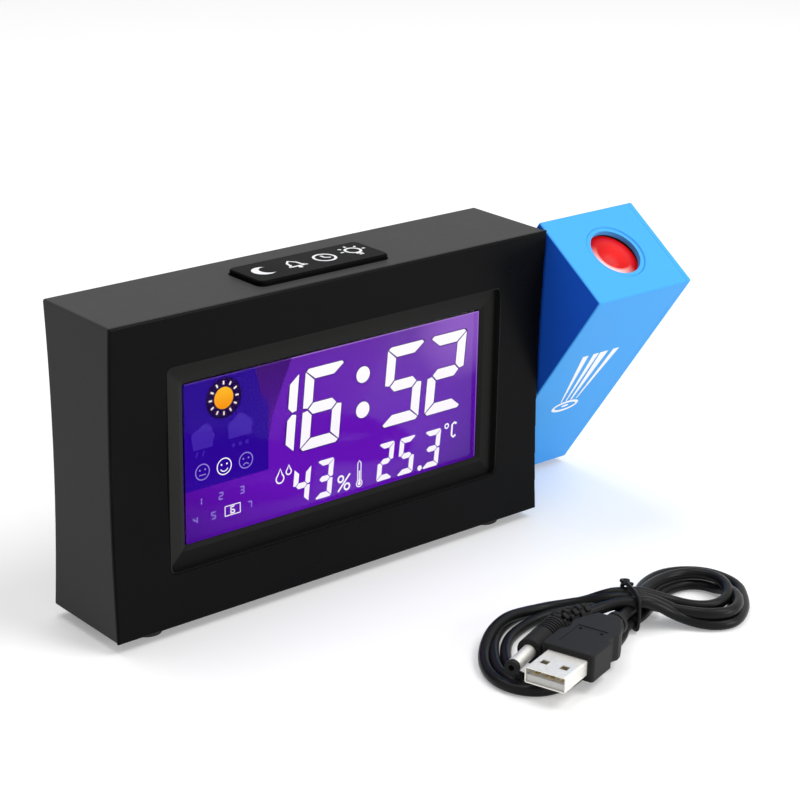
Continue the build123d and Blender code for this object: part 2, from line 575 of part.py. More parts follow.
with BuildPart() as snooze_board:
    bar(BUTTON_X - SNOOZE_BOARD_W / 2, BUTTON_X + SNOOZE_BOARD_W / 2,
        BUTTON_Y - SNOOZE_BOARD_D / 2, BUTTON_Y + SNOOZE_BOARD_D / 2,
        SNOOZE_BOARD_Z, SNOOZE_SWITCH_Z)
    for x in SNOOZE_PILLARS:
        rod_z(x, BUTTON_Y, SMALL_SCREW_R + FIT, SNOOZE_BOARD_Z - 1, SNOOZE_SWITCH_Z + 1,
              mode=Mode.SUBTRACT)
keep(snooze_board.part, "snooze_board")

with BuildPart() as snooze_switch:
    with Locations((BUTTON_X, BUTTON_Y, SNOOZE_SWITCH_Z + SWITCH_H / 2)):
        Box(SWITCH_W, SWITCH_W, SWITCH_H)
    rod_z(BUTTON_X, BUTTON_Y, PLUNGER_R, SNOOZE_SWITCH_Z + SWITCH_H - 0.5, SNOOZE_TIP_Z)
keep(snooze_switch.part, "snooze_switch")

# ---------------------------------------------------------------- rear keys
for number, x in enumerate(KEY_X, start=1):
    with BuildPart() as rear_key:
        with BuildSketch(at_y(KEY_FLANGE_Y - KEY_FLANGE_T)):
            with Locations((x, KEY_Z)):
                RectangleRounded(KEY_W, KEY_H, KEY_H / 2 - 0.01)
        extrude(amount=-(rear_y(KEY_Z) + KEY_PROUD - KEY_FLANGE_Y + KEY_FLANGE_T))
        fillet(rear_key.faces().sort_by(Axis.Y)[-1].edges(), 0.5)
        with BuildSketch(at_y(KEY_FLANGE_Y - KEY_FLANGE_T)):
            with Locations((x, KEY_Z)):
                RectangleRounded(KEY_W + 2 * KEY_LAP, KEY_H + 2 * KEY_LAP, KEY_H / 2)
        extrude(amount=-KEY_FLANGE_T)
    keep(rear_key.part, f"rear_key_{number}")

with BuildPart() as key_board:
    bar(BAY_X - KEY_BOARD_W / 2, BAY_X + KEY_BOARD_W / 2, KEY_BOARD_Y, KEY_SWITCH_Y,
        KEY_Z - KEY_BOARD_H / 2, KEY_Z + KEY_BOARD_H / 2)
    for x in KEY_PILLARS:
        rod_y(x, KEY_Z, SMALL_SCREW_R + FIT, KEY_BOARD_Y - 1, KEY_SWITCH_Y + 1, mode=Mode.SUBTRACT)
keep(key_board.part, "key_board")

with BuildPart() as key_switches:
    for x in KEY_X:
        bar(x - SWITCH_W / 2, x + SWITCH_W / 2, KEY_SWITCH_Y, KEY_SWITCH_Y + SWITCH_H,
            KEY_Z - SWITCH_W / 2, KEY_Z + SWITCH_W / 2)
        rod_y(x, KEY_Z, PLUNGER_R, KEY_SWITCH_Y + SWITCH_H - 0.5,
              KEY_SWITCH_Y + SWITCH_H + PLUNGER_H)
keep(key_switches.part, "key_switches")

# ---------------------------------------------------------------- battery bay
with BuildPart() as battery_door:
    with BuildSketch(Plane.YZ.offset(BAY_X - DOOR_W / 2)):
        section((rear_y, -DOOR_T), (rear_y, 0), BAY_Z - DOOR_H / 2, BAY_Z + DOOR_H / 2)
    extrude(amount=DOOR_W)
    # thumb grip: a row of shallow grooves near the top edge
    with Locations(*[(BAY_X, rear_y(BAY_Z + 8) + 0.05, BAY_Z + 5.5 + 1.6 * i) for i in range(4)]):
        Box(14, 1.1, 0.7, mode=Mode.SUBTRACT)
    # two ribs that centre the door in the bay
    for side in (-1, 1):
        edge = BAY_Z + side * (BAY_H / 2 - FIT)
        bar(BAY_X - DOOR_RIB_W / 2, BAY_X + DOOR_RIB_W / 2,
            rear_y(BAY_Z) - DOOR_T - DOOR_RIB_OUT, rear_y(BAY_Z) - DOOR_T / 2,
            *sorted((edge, edge - side * DOOR_RIB_T)))
keep(battery_door.part, "battery_door")

with BuildPart() as aaa_cells:
    for side in (-1, 1):
        # the positive nubs point opposite ways
        z = BAY_Z + side * CELL_PITCH / 2
        ends = [BAY_X + side * x for x in (-CELL_L / 2, CELL_L / 2 - NUB_L, CELL_L / 2)]
        rod_x(CELL_Y, z, CELL_R, *sorted(ends[:2]))
        rod_x(CELL_Y, z, NUB_R, *sorted((ends[1] - side * NUB_L / 2, ends[2])))
keep(aaa_cells.part, "aaa_cells")

with BuildPart() as battery_contacts:
    # a plate in each end wall, with a flat button or a coned spring
    for side in (-1, 1):
        z = BAY_Z + side * CELL_PITCH / 2
        for end in (-1, 1):
            wall = BAY_X + end * (BAY_W / 2 - TOUCH)
            near = wall - end * CONTACT_T
            bar(*sorted((wall, near)), CELL_Y - CONTACT_W / 2, CELL_Y + CONTACT_W / 2,
                z - CONTACT_W / 2, z + CONTACT_W / 2)
            with BuildSketch(Plane(origin=(near, CELL_Y, z), z_dir=(-end, 0, 0))):
                Circle(NUB_R + 0.5 if end == side else 3.6)
            extrude(amount=BAY_W / 2 - 2 * TOUCH - CONTACT_T - CELL_L / 2,
                    taper=0 if end == side else 15)
keep(battery_contacts.part, "battery_contacts")

# ---------------------------------------------------------------- jack, buzzer, sensor
with BuildPart() as dc_jack:
    bar(JACK_X - JACK_BODY / 2, JACK_X + JACK_BODY / 2, JACK_Y - JACK_LEN, JACK_Y,
        JACK_Z - JACK_BODY / 2, JACK_Z + JACK_BODY / 2)
    rod_y(JACK_X, JACK_Z, JACK_NOSE_R, JACK_Y - 1, rear_y(JACK_Z) - GAP)
    rod_y(JACK_X, JACK_Z, PLUG_R + FIT, JACK_Y - JACK_BORE, Y_REAR + 1, mode=Mode.SUBTRACT)
    rod_y(JACK_X, JACK_Z, PIN_R, JACK_Y - JACK_BORE - 0.5, rear_y(JACK_Z) - 1.6)
keep(dc_jack.part, "dc_jack")

with BuildPart() as buzzer:
    rod_y(BUZZER_X, BUZZER_Z, BUZZER_R, BUZZER_WALL_Y - BUZZER_T, BUZZER_WALL_Y - 0.2)
    rod_y(BUZZER_X, BUZZER_Z, BUZZER_HOLE_R, BUZZER_WALL_Y - 0.9, BUZZER_WALL_Y, mode=Mode.SUBTRACT)
keep(buzzer.part, "buzzer")

with BuildPart() as room_sensor:
    bar(SENSOR_X - SENSOR_W / 2, SENSOR_X + SENSOR_W / 2, SENSOR_Y, SENSOR_Y + SMALL_BOARD_T,
        SENSOR_Z - SENSOR_LOW, SENSOR_Z + SENSOR_HIGH)
    bar(SENSOR_X - 2.5, SENSOR_X + 2.5, SENSOR_Y + 0.5, SENSOR_Y + SMALL_BOARD_T + 2.0,
        SENSOR_Z - 3, SENSOR_Z + 4)
keep(room_sensor.part, "room_sensor")

# ---------------------------------------------------------------- feet and case screws
with BuildPart() as rubber_feet:
    for x in (X_LEFT + FOOT_INSET_X, X_RIGHT - FOOT_INSET_X):
        for y in (-FOOT_Y, FOOT_Y):
            rod_z(x, y, FOOT_R, 0, FOOT_H)
    fillet(rubber_feet.edges().filter_by(GeomType.CIRCLE).group_by(Axis.Z)[0], 0.5)
keep(rubber_feet.part, "rubber_feet")

with BuildPart() as case_screws:
    for x, z in CASE_POSTS:
        rod_y(x, z, SCREW_HEAD_R, HEAD_Y, HEAD_Y + SCREW_HEAD_T)
        rod_y(x, z, SCREW_R, HEAD_Y - SCREW_L, HEAD_Y + 0.5)
        with Locations((x, HEAD_Y + SCREW_HEAD_T, z)):
            Box(1.2 * SCREW_HEAD_R, 1.6, 0.7, mode=Mode.SUBTRACT)
            Box(0.7, 1.6, 1.2 * SCREW_HEAD_R, mode=Mode.SUBTRACT)
keep(case_screws.part, "case_screws")

# ---------------------------------------------------------------- projector block
# Its own frame: x from its left face, y backwards, z up its long axis, origin on the pivot.
TILT = radians(BLOCK_TILT)
BLOCK = Plane(origin=(BLOCK_X, 0, PIVOT_Z), x_dir=(1, 0, 0), z_dir=(0, -sin(TILT), cos(TILT)))
HALF_D = BLOCK_D / 2
HALF_H = BLOCK_H / 2
END_T = 2.0
END_X = BLOCK_W - END_T
LENS_X = BLOCK_W / 2
SHAFT_END = -(BLOCK_GAP + WALL + HUB_DEPTH + TOUCH + WASHER_T + TOUCH)
RETAINER_SCREWS = [((SHAFT_R - RETAINER_SCREW_IN) * sin(2 * pi * i / 3),
                    (SHAFT_R - RETAINER_SCREW_IN) * cos(2 * pi * i / 3)) for i in range(3)]
BLOCK_POST_R = 1.9
BLOCK_POST_Y = HALF_D - BLOCK_WALL - FIT - BLOCK_POST_R - 0.25
BLOCK_POST_Z = HALF_H - 10.0
BLOCK_POSTS = [(y, z) for y in (-BLOCK_POST_Y, BLOCK_POST_Y) for z in (-BLOCK_POST_Z, BLOCK_POST_Z)]
COVER_LIP = 3.0
COVER_HEAD = 1.5        # depth of its screw heads' seats
RING_TOP = HALF_H - 0.35
DOME_TOP = HALF_H - LENS_SINK
LENS_EDGE_T = 1.5
LENS_BASE = DOME_TOP - LENS_DOME - LENS_EDGE_T
TUBE_R = LENS_R + TUBE_WALL
TUBE_TOP = HALF_H - BLOCK_WALL - TOUCH
TUBE_LOW = TUBE_TOP - TUBE_LEN
LED_BOARD_Z = TUBE_LOW - TOUCH - SMALL_BOARD_T
SLIDE_Z = TUBE_LOW + 12.5
CONDENSER_Z = TUBE_LOW + 7.5
TUBE_BORE_R = LENS_R - 0.9
HARNESS_D = 3.0
HARNESS_TAIL = 5.0      # of the harness inside the clock body

with BuildPart(BLOCK) as projector_housing:
    bar(0, END_X - SEAM, -HALF_D, HALF_D, -HALF_H, HALF_H)
    fillet(projector_housing.edges().filter_by(lambda e: e.center().X < BLOCK_X + END_X - 1), EDGE_R)
    bar(BLOCK_WALL, END_X + 1, -HALF_D + BLOCK_WALL, HALF_D - BLOCK_WALL,
        -HALF_H + BLOCK_WALL, HALF_H - BLOCK_WALL, mode=Mode.SUBTRACT)
    # thrust ring, hollow shaft and screw posts
    rod_x(0, 0, HUB_R, -BLOCK_GAP + 0.2, 0.5)
    rod_x(0, 0, SHAFT_R, SHAFT_END, 0.5)
    for y, z in BLOCK_POSTS:
        rod_x(y, z, BLOCK_POST_R, BLOCK_WALL / 2, END_X - COVER_LIP - 1)
        rod_x(y, z, SMALL_SCREW_R + TOUCH, END_X - SCREW_L - 1, END_X, mode=Mode.SUBTRACT)
    rod_x(0, 0, SHAFT_BORE_R, SHAFT_END - 1, BLOCK_WALL + 1, mode=Mode.SUBTRACT)
    for y, z in RETAINER_SCREWS:
        rod_x(y, z, SMALL_SCREW_R + TOUCH, SHAFT_END - 1, SHAFT_END + 4, mode=Mode.SUBTRACT)
    rod_z(LENS_X, 0, APERTURE_R, HALF_H - BLOCK_WALL - 1, HALF_H + 1, mode=Mode.SUBTRACT)
    rim = projector_housing.edges().filter_by(GeomType.CIRCLE)
    rim = rim.filter_by(lambda e: abs(e.radius - APERTURE_R) < 0.01)
    chamfer(rim.sort_by(lambda e: BLOCK.to_local_coords(e.center()).Z)[-1], 0.3)
keep(projector_housing.part, "projector_housing")

with BuildPart(BLOCK) as projector_end_cover:
    bar(END_X, BLOCK_W, -HALF_D, HALF_D, -HALF_H, HALF_H)
    fillet(projector_end_cover.edges().filter_by(lambda e: e.center().X > BLOCK_X + END_X + 0.1),
           EDGE_R)
    lip = BLOCK_WALL + FIT
    bar(END_X - COVER_LIP, END_X + 0.5, -HALF_D + lip, HALF_D - lip, -HALF_H + lip, HALF_H - lip)
    bar(END_X - COVER_LIP - 1, END_X, -HALF_D + lip + LIP_T, HALF_D - lip - LIP_T,
        -HALF_H + lip + LIP_T, HALF_H - lip - LIP_T, mode=Mode.SUBTRACT)
    for y, z in BLOCK_POSTS:
        rod_x(y, z, BLOCK_POST_R + 0.2, END_X - COVER_LIP - 1 + TOUCH, END_X + 0.5)
        rod_x(y, z, SMALL_HEAD_R + FIT, BLOCK_W - COVER_HEAD, BLOCK_W + 1, mode=Mode.SUBTRACT)
        rod_x(y, z, SMALL_SCREW_R + FIT, END_X - 5, BLOCK_W, mode=Mode.SUBTRACT)
keep(projector_end_cover.part, "projector_end_cover")

with BuildPart(BLOCK) as projector_screws:
    for y, z in BLOCK_POSTS:
        rod_x(y, z, SMALL_HEAD_R, BLOCK_W - COVER_HEAD, BLOCK_W - GAP)
        rod_x(y, z, SMALL_SCREW_R, END_X - SCREW_L, BLOCK_W - 1)
    for y, z in RETAINER_SCREWS:
        head = SHAFT_END - TOUCH - RETAINER_T
        rod_x(y, z, SMALL_HEAD_R, head - SMALL_HEAD_T, head)
        rod_x(y, z, SMALL_SCREW_R, head - 0.5, head + SMALL_SCREW_L)
keep(projector_screws.part, "projector_screws")

with BuildPart(BLOCK) as pivot_retainer:
    rod_x(0, 0, RETAINER_R, SHAFT_END - TOUCH - RETAINER_T, SHAFT_END - TOUCH)
    rod_x(0, 0, SHAFT_BORE_R, SHAFT_END - 5, SHAFT_END, mode=Mode.SUBTRACT)
    for y, z in RETAINER_SCREWS:
        rod_x(y, z, SMALL_SCREW_R + FIT, SHAFT_END - 5, SHAFT_END, mode=Mode.SUBTRACT)
keep(pivot_retainer.part, "pivot_retainer")

with BuildPart(BLOCK) as friction_washer:
    rod_x(0, 0, RETAINER_R, SHAFT_END + TOUCH, SHAFT_END + TOUCH + WASHER_T - TOUCH)
    rod_x(0, 0, SHAFT_R + FIT, SHAFT_END - 1, SHAFT_END + 2, mode=Mode.SUBTRACT)
keep(friction_washer.part, "friction_washer")

with BuildPart(BLOCK) as lens_tube:
    rod_z(LENS_X, 0, TUBE_R, TUBE_LOW, TUBE_TOP)
    rod_z(LENS_X, 0, TUBE_BORE_R, TUBE_LOW - 1, TUBE_TOP + 1, mode=Mode.SUBTRACT)
    rod_z(LENS_X, 0, LENS_R + TOUCH, LENS_BASE - TOUCH, TUBE_TOP + 1, mode=Mode.SUBTRACT)
    # shoulders that the condenser and the picture slide stand on
    for z, r in ((CONDENSER_Z, 5.0), (SLIDE_Z, 6.6)):
        rod_z(LENS_X, 0, TUBE_BORE_R + 0.5, z - 1.2, z - TOUCH)
        rod_z(LENS_X, 0, r, z - 2, z + 1, mode=Mode.SUBTRACT)
keep(lens_tube.part, "lens_tube")

with BuildPart(BLOCK) as projector_lens:
    with BuildSketch(BLOCK * Plane.XZ) as lens_profile:
        with BuildLine():
            low = (LENS_X, LENS_BASE)
            edge_low = (LENS_X + LENS_R, LENS_BASE)
            edge_top = (LENS_X + LENS_R, LENS_BASE + LENS_EDGE_T)
            top = (LENS_X, DOME_TOP)
            dome_r = (LENS_R ** 2 + LENS_DOME ** 2) / (2 * LENS_DOME)
            middle = (LENS_X + LENS_R / 2,
                      DOME_TOP - dome_r + sqrt(dome_r ** 2 - (LENS_R / 2) ** 2))
            Polyline(top, low, edge_low, edge_top)
            ThreePointArc(edge_top, middle, top)
        make_face()
    axis = Axis(BLOCK.from_local_coords((LENS_X, 0, 0)), BLOCK.z_dir)
    revolve(axis=axis, revolution_arc=360)
keep(projector_lens.part, "projector_lens")

with BuildPart(BLOCK) as lens_ring:
    rod_z(LENS_X, 0, APERTURE_R - 0.1, TUBE_TOP + TOUCH, RING_TOP)
    rod_z(LENS_X, 0, LENS_R - 0.5, TUBE_TOP - 1, HALF_H, mode=Mode.SUBTRACT)
keep(lens_ring.part, "lens_ring")

with BuildPart(BLOCK) as picture_slide:
    with Locations((LENS_X, 0, SLIDE_Z + 0.8)):
        Box(10.4, 10.4, 1.6)
keep(picture_slide.part, "picture_slide")

with BuildPart(BLOCK) as condenser_lens:
    rod_z(LENS_X, 0, 6.4, CONDENSER_Z, CONDENSER_Z + 1.2)
    with BuildSketch(BLOCK.offset(CONDENSER_Z + 1.2)):
        with Locations((LENS_X, 0)):
            Circle(6.4)
    extrude(amount=1.4, taper=50)
keep(condenser_lens.part, "condenser_lens")

with BuildPart(BLOCK) as red_led:
    rod_z(LENS_X, 0, 2.5, TUBE_LOW, TUBE_LOW + 3.0)
    with Locations((LENS_X, 0, TUBE_LOW + 3.0)):
        Sphere(2.5)
    bar(LENS_X - 4, LENS_X + 4, -4, 4, TUBE_LOW - 3, TUBE_LOW, mode=Mode.SUBTRACT)
keep(red_led.part, "red_led")

with BuildPart(BLOCK) as led_board:
    rod_z(LENS_X, 0, TUBE_R, LED_BOARD_Z, LED_BOARD_Z + SMALL_BOARD_T)
keep(led_board.part, "led_board")

with BuildPart() as projector_harness:
    with BuildLine() as harness_path:
        FilletPolyline(
            *[BLOCK.from_local_coords(p) for p in
              ((LENS_X, 0, LED_BOARD_Z - TOUCH), (LENS_X, 0, 0), (SHAFT_END - HARNESS_TAIL, 0, 0))],
            radius=5.0)
    with BuildSketch(Plane(origin=harness_path.line @ 0, z_dir=harness_path.line % 0)):
        Circle(HARNESS_D / 2)
    sweep()
keep(projector_harness.part, "projector_harness")

# ---------------------------------------------------------------- power lead
# Its own frame: u along the tied bundle, v away from the viewer's side, origin under the tie.
LEAD = Plane(origin=(LEAD_X, LEAD_Y, 0), x_dir=(cos(radians(LEAD_TURN)), sin(radians(LEAD_TURN)), 0),
             z_dir=(0, 0, 1))
LEFT_LOOP = [(-3, 0.4), (-14, 4.4), (-22, 4.6), (-29, 0.4), (-34.5, -6), (-38.2, -14), (-39.2, -24),
             (-38, -33), (-34, -39), (-28, -40.6), (-22.4, -37), (-17, -28.5), (-11.5, -19.5), (-6, -10)]
RIGHT_LOOP = [(4, -1.4), (14, -0.6), (22, -1.4), (28, 0.6), (31.6, 7), (32.4, 15), (30, 22.4),
              (24, 26.6), (17, 25.4), (10.5, 19.6), (5.4, 11.4)]
STRAND = CORD_D + 0.1
LOOP_ROUND = 5.5
TIE_T = 1.3
TIE_W = 1.5
TIE_SKEW = 18.0         # degrees, the tie lies slanted over the bundle
BUNDLE_HALF_L = 5.0
LOOP_HALF_W = 1.5 * STRAND + 0.2
RIGHT_HALF_W = STRAND + 0.1
BUNDLE_HALF_W = 1.5 * STRAND + 0.1
BUNDLE_TOP = TIE_T + (2 + sin(radians(60))) * STRAND
USB_TIP = (-26.9, -48.0)
USB_TURN = 57.5         # degrees, from its tip to its cable, in the lead's frame
DC_TIP = (-35.3, -40.8)
DC_TURN = 61.6
PLUG_LIFT = STRAND + 0.1

USB_SHELL_W = 12.0
USB_SHELL_H = 4.5
USB_SHELL_OUT = 12.0
USB_SHELL_IN = 7.0
USB_SHEET = 0.3
USB_BODY_W = 15.6
USB_BODY_H = 8.0
USB_BODY_L = 24.5
USB_NECK_L = 5.0
USB_NECK_R = 3.4

DC_BARREL_L = 11.0
DC_TIP_L = 1.5
DC_HOLE_R = 0.85
DC_GRIP_R = 3.65
DC_GRIP_L = 8.3
DC_RINGS_L = 8.0
DC_RINGS = 6
DC_RELIEF_R = 22.9
DC_RELIEF_ARC = 35.0
DC_RELIEF_BITS = 6


def loop_face(points, grow):
    """Area inside one loop of the lead, grown by half the width of its strands."""
    with BuildSketch(LEAD, mode=Mode.PRIVATE) as area:
        with BuildLine():
            FilletPolyline(*points, radius=LOOP_ROUND, close=True)
        make_face()
        offset(amount=grow, kind=Kind.ARC)
    return area.sketch


with BuildPart(LEAD) as lead_coil:
    extrude(loop_face(LEFT_LOOP, LOOP_HALF_W), amount=STRAND)
    extrude(loop_face(LEFT_LOOP, -LOOP_HALF_W), amount=STRAND, mode=Mode.SUBTRACT)
    extrude(loop_face(RIGHT_LOOP, RIGHT_HALF_W), amount=2 * STRAND)
    extrude(loop_face(RIGHT_LOOP, -RIGHT_HALF_W), amount=2 * STRAND, mode=Mode.SUBTRACT)
    with Locations(Location((0, 0, 0), (0, 0, TIE_SKEW))):
        groove = TIE_W / 2 + FIT
        bar(-BUNDLE_HALF_L, BUNDLE_HALF_L, -BUNDLE_HALF_W, BUNDLE_HALF_W, 0, BUNDLE_TOP)
        bar(-groove, groove, -20, 20, -1, TIE_T + TOUCH, mode=Mode.SUBTRACT)
        for side in (-1, 1):
            bar(-groove, groove, *sorted((side * (BUNDLE_HALF_W + TOUCH / 2), side * 20)),
                0, BUNDLE_TOP, mode=Mode.SUBTRACT)
keep(lead_coil.part, "lead_coil")

TIE = LEAD.rotated((0, 0, TIE_SKEW))
with BuildPart(TIE) as lead_tie:
    bar(-TIE_W / 2, TIE_W / 2, -BUNDLE_HALF_W - TIE_T, BUNDLE_HALF_W + TIE_T,
        0, BUNDLE_TOP + TIE_T)
    fillet(lead_tie.edges().filter_by(lambda e: abs(e.tangent_at(0.5).dot(TIE.x_dir)) > 0.9), 1.2)
    bar(-TIE_W, TIE_W, -BUNDLE_HALF_W - TOUCH, BUNDLE_HALF_W + TOUCH, TIE_T, BUNDLE_TOP + TOUCH,
        mode=Mode.SUBTRACT)
keep(lead_tie.part, "lead_tie")


def on_lead(at, turn, height):
    """Frame on the lead: x from a plug's tip to its cable, at that height."""
    turned = radians(LEAD_TURN + turn)
    return Plane(origin=LEAD.from_local_coords((at[0], at[1], height)),
                 x_dir=(cos(turned), sin(turned), 0), z_dir=(0, 0, 1))


USB = on_lead(USB_TIP, USB_TURN, PLUG_LIFT + USB_BODY_H / 2)
with BuildPart(USB) as usb_shell:
    length = USB_SHELL_OUT + USB_SHELL_IN
    bar(0, length, -USB_SHELL_W / 2, USB_SHELL_W / 2, -USB_SHELL_H / 2, USB_SHELL_H / 2)
    fillet(usb_shell.edges().filter_by(lambda e: abs(e.tangent_at(0.5).dot(USB.x_dir)) > 0.9), 0.5)
    bar(-1, length + 1, -USB_SHELL_W / 2 + USB_SHEET, USB_SHELL_W / 2 - USB_SHEET,
        -USB_SHELL_H / 2 + USB_SHEET, USB_SHELL_H / 2 - USB_SHEET, mode=Mode.SUBTRACT)
    # two latch windows in the upper and lower faces
    with Locations(*[(5.2, y, 0) for y in (-2.95, 2.95)]):
        Box(2.3, 2.3, 2 * USB_SHELL_H, mode=Mode.SUBTRACT)
keep(usb_shell.part, "usb_shell")

with BuildPart(USB) as usb_tongue:
    inner_w = USB_SHELL_W - 2 * USB_SHEET - 0.1
    bar(0.6, USB_SHELL_OUT + USB_SHELL_IN - 0.5, -inner_w / 2, inner_w / 2,
        -USB_SHELL_H / 2 + USB_SHEET + TOUCH, -0.05)
    bar(USB_SHELL_OUT - 3, USB_SHELL_OUT + USB_SHELL_IN - 0.5, -inner_w / 2, inner_w / 2,
        -0.5, USB_SHELL_H / 2 - USB_SHEET - TOUCH)
keep(usb_tongue.part, "usb_tongue")

with BuildPart(USB) as usb_contacts:
    with Locations(*[(5.3, y, 0.1) for y in (-3.5, -1.0, 1.0, 3.5)]):
        Box(7.0, 1.1, 0.25)
keep(usb_contacts.part, "usb_contacts")

with BuildPart(USB) as usb_overmould:
    half, waist, rear = USB_BODY_W / 2, USB_BODY_W / 2 - 1.3, USB_BODY_W / 2 - 2.2
    x0 = USB_SHELL_OUT
    neck = x0 + USB_BODY_L
    side = [(x0, half), (x0 + 10.2, half), (x0 + 12.0, waist), (x0 + 13.8, waist),
            (x0 + 15.6, half - 0.6), (x0 + 17.4, half - 0.8), (x0 + 20.8, rear),
            (neck, USB_NECK_R + 0.3)]
    with BuildSketch(USB.offset(-USB_BODY_H / 2)):
        with BuildLine():
            Polyline(*side, *[(x, -y) for x, y in reversed(side)], close=True)
        make_face()
    extrude(amount=USB_BODY_H)
    upright = usb_overmould.edges().filter_by(lambda e: abs(e.tangent_at(0.5).Z) > 0.9)
    fillet(upright.sort_by(lambda e: USB.to_local_coords(e.center()).X)[:2], 1.0)
    fillet(usb_overmould.faces().filter_by(Plane.XY).edges(), 0.5)
    # thinner towards the cable, then a ringed neck
    rod_x(0, 0, USB_NECK_R - 0.5, neck - 0.5, neck + USB_NECK_L)
    for i in range(2):
        rod_x(0, 0, USB_NECK_R - 0.15 * i, neck + 0.6 + 2.4 * i, neck + 2.1 + 2.4 * i)
    # panel on the upper face with two marks at its cable end
    with Locations((x0 + 9.0, 0, USB_BODY_H / 2)):
        Box(11.5, 9.0, 0.4, mode=Mode.SUBTRACT)
    for y in (-3.2, 3.2):
        rod_z(x0 + 13.2, y, 0.5, USB_BODY_H / 2 - 0.6, USB_BODY_H / 2 + 1, mode=Mode.SUBTRACT)
    inner_w = USB_SHELL_W + 2 * TOUCH
    bar(x0 - 1, x0 + USB_SHELL_IN + TOUCH, -inner_w / 2, inner_w / 2,
        -USB_SHELL_H / 2 - TOUCH, USB_SHELL_H / 2 + TOUCH, mode=Mode.SUBTRACT)
keep(usb_overmould.part, "usb_overmould")

DC = on_lead(DC_TIP, DC_TURN, PLUG_LIFT + DC_GRIP_R)
GRIP_X = DC_BARREL_L
RINGS_X = GRIP_X + DC_GRIP_L
RELIEF_X = RINGS_X + DC_RINGS_L
with BuildPart(DC) as dc_tip:
    rod_x(0, 0, PLUG_R, 0, DC_TIP_L)
    rod_x(0, 0, PLUG_R - 0.5, DC_TIP_L - 0.1, DC_TIP_L + 5)
    rod_x(0, 0, DC_HOLE_R, -1, DC_TIP_L + 6, mode=Mode.SUBTRACT)
keep(dc_tip.part, "dc_tip")

with BuildPart(DC) as dc_barrel:
    rod_x(0, 0, PLUG_R, DC_TIP_L + TOUCH, GRIP_X + 4)
    rod_x(0, 0, PLUG_R - 0.45, DC_TIP_L - 1, GRIP_X + 1, mode=Mode.SUBTRACT)
keep(dc_barrel.part, "dc_barrel")

with BuildPart(DC) as dc_grip:
    rod_x(0, 0, DC_GRIP_R, GRIP_X, RELIEF_X)
    fillet(dc_grip.edges(), 0.4)
    for i in range(DC_RINGS):
        x = RINGS_X + 0.5 + i * (DC_RINGS_L - 1) / DC_RINGS
        rod_x(0, 0, DC_GRIP_R + 1, x, x + 0.55, mode=Mode.SUBTRACT)
        rod_x(0, 0, DC_GRIP_R - 0.45, x - 0.1, x + 0.65)
    rod_x(0, 0, PLUG_R + TOUCH, GRIP_X - 1, GRIP_X + 4 + TOUCH, mode=Mode.SUBTRACT)
keep(dc_grip.part, "dc_grip")


def relief_place(degrees):
    """Frame on the strain relief's bent axis, x along the axis."""
    a = radians(degrees)
    return DC.shift_origin(DC.from_local_coords(
        (RELIEF_X + DC_RELIEF_R * sin(a), -DC_RELIEF_R * (1 - cos(a)), 0))).rotated((0, 0, -degrees))


RELIEF_CORE_R = 2.3
with BuildPart() as dc_strain_relief:
    with BuildLine() as relief_path:
        ThreePointArc(*[relief_place(DC_RELIEF_ARC * k / 2).origin for k in range(3)])
    with BuildSketch(Plane(origin=relief_path.line @ 0, z_dir=relief_path.line % 0)):
        Circle(RELIEF_CORE_R)
    sweep()
    # segments that shrink towards the cable, split by slots that alternate side and top
    for i in range(DC_RELIEF_BITS):
        step = DC_RELIEF_ARC / DC_RELIEF_BITS
        here = relief_place((i + 0.15) * step)
        radius = DC_GRIP_R - 0.25 - 0.14 * i
        with BuildSketch(Plane(origin=here.origin, x_dir=here.y_dir, z_dir=here.x_dir)):
            Circle(radius)
            if i % 2:
                Rectangle(1.6, 4 * radius, mode=Mode.SUBTRACT)
            else:
                Rectangle(4 * radius, 1.6, mode=Mode.SUBTRACT)
            Circle(RELIEF_CORE_R)
        extrude(amount=1.55)
keep(dc_strain_relief.part, "dc_strain_relief")

# the lead's two ends, from its plugs into the tied bundle
with BuildPart(relief_place(DC_RELIEF_ARC)) as lead_end_dc:
    rod_x(0, 0, CORD_D / 2, 0, 9.8)
keep(lead_end_dc.part, "lead_end_dc")

with BuildPart() as lead_end_usb:
    usb_end = USB.from_local_coords((USB_SHELL_OUT + USB_BODY_L + USB_NECK_L, 0, 0))
    into_bundle = TIE.from_local_coords((-3.2, -BUNDLE_HALF_W + 0.8, BUNDLE_TOP / 2))
    with BuildLine() as usb_cable:
        Spline(usb_end, into_bundle, tangents=(USB.x_dir, TIE.y_dir))
    with BuildSketch(Plane(origin=usb_end, z_dir=USB.x_dir)):
        Circle(CORD_D / 2)
    sweep()
keep(lead_end_usb.part, "lead_end_usb")
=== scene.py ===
"""Looks of the projection alarm clock: finishes, display, prints, lens and the tied power lead."""
from math import cos, pi, radians, sin

import bmesh
import bpy
from mathutils import Matrix, Vector


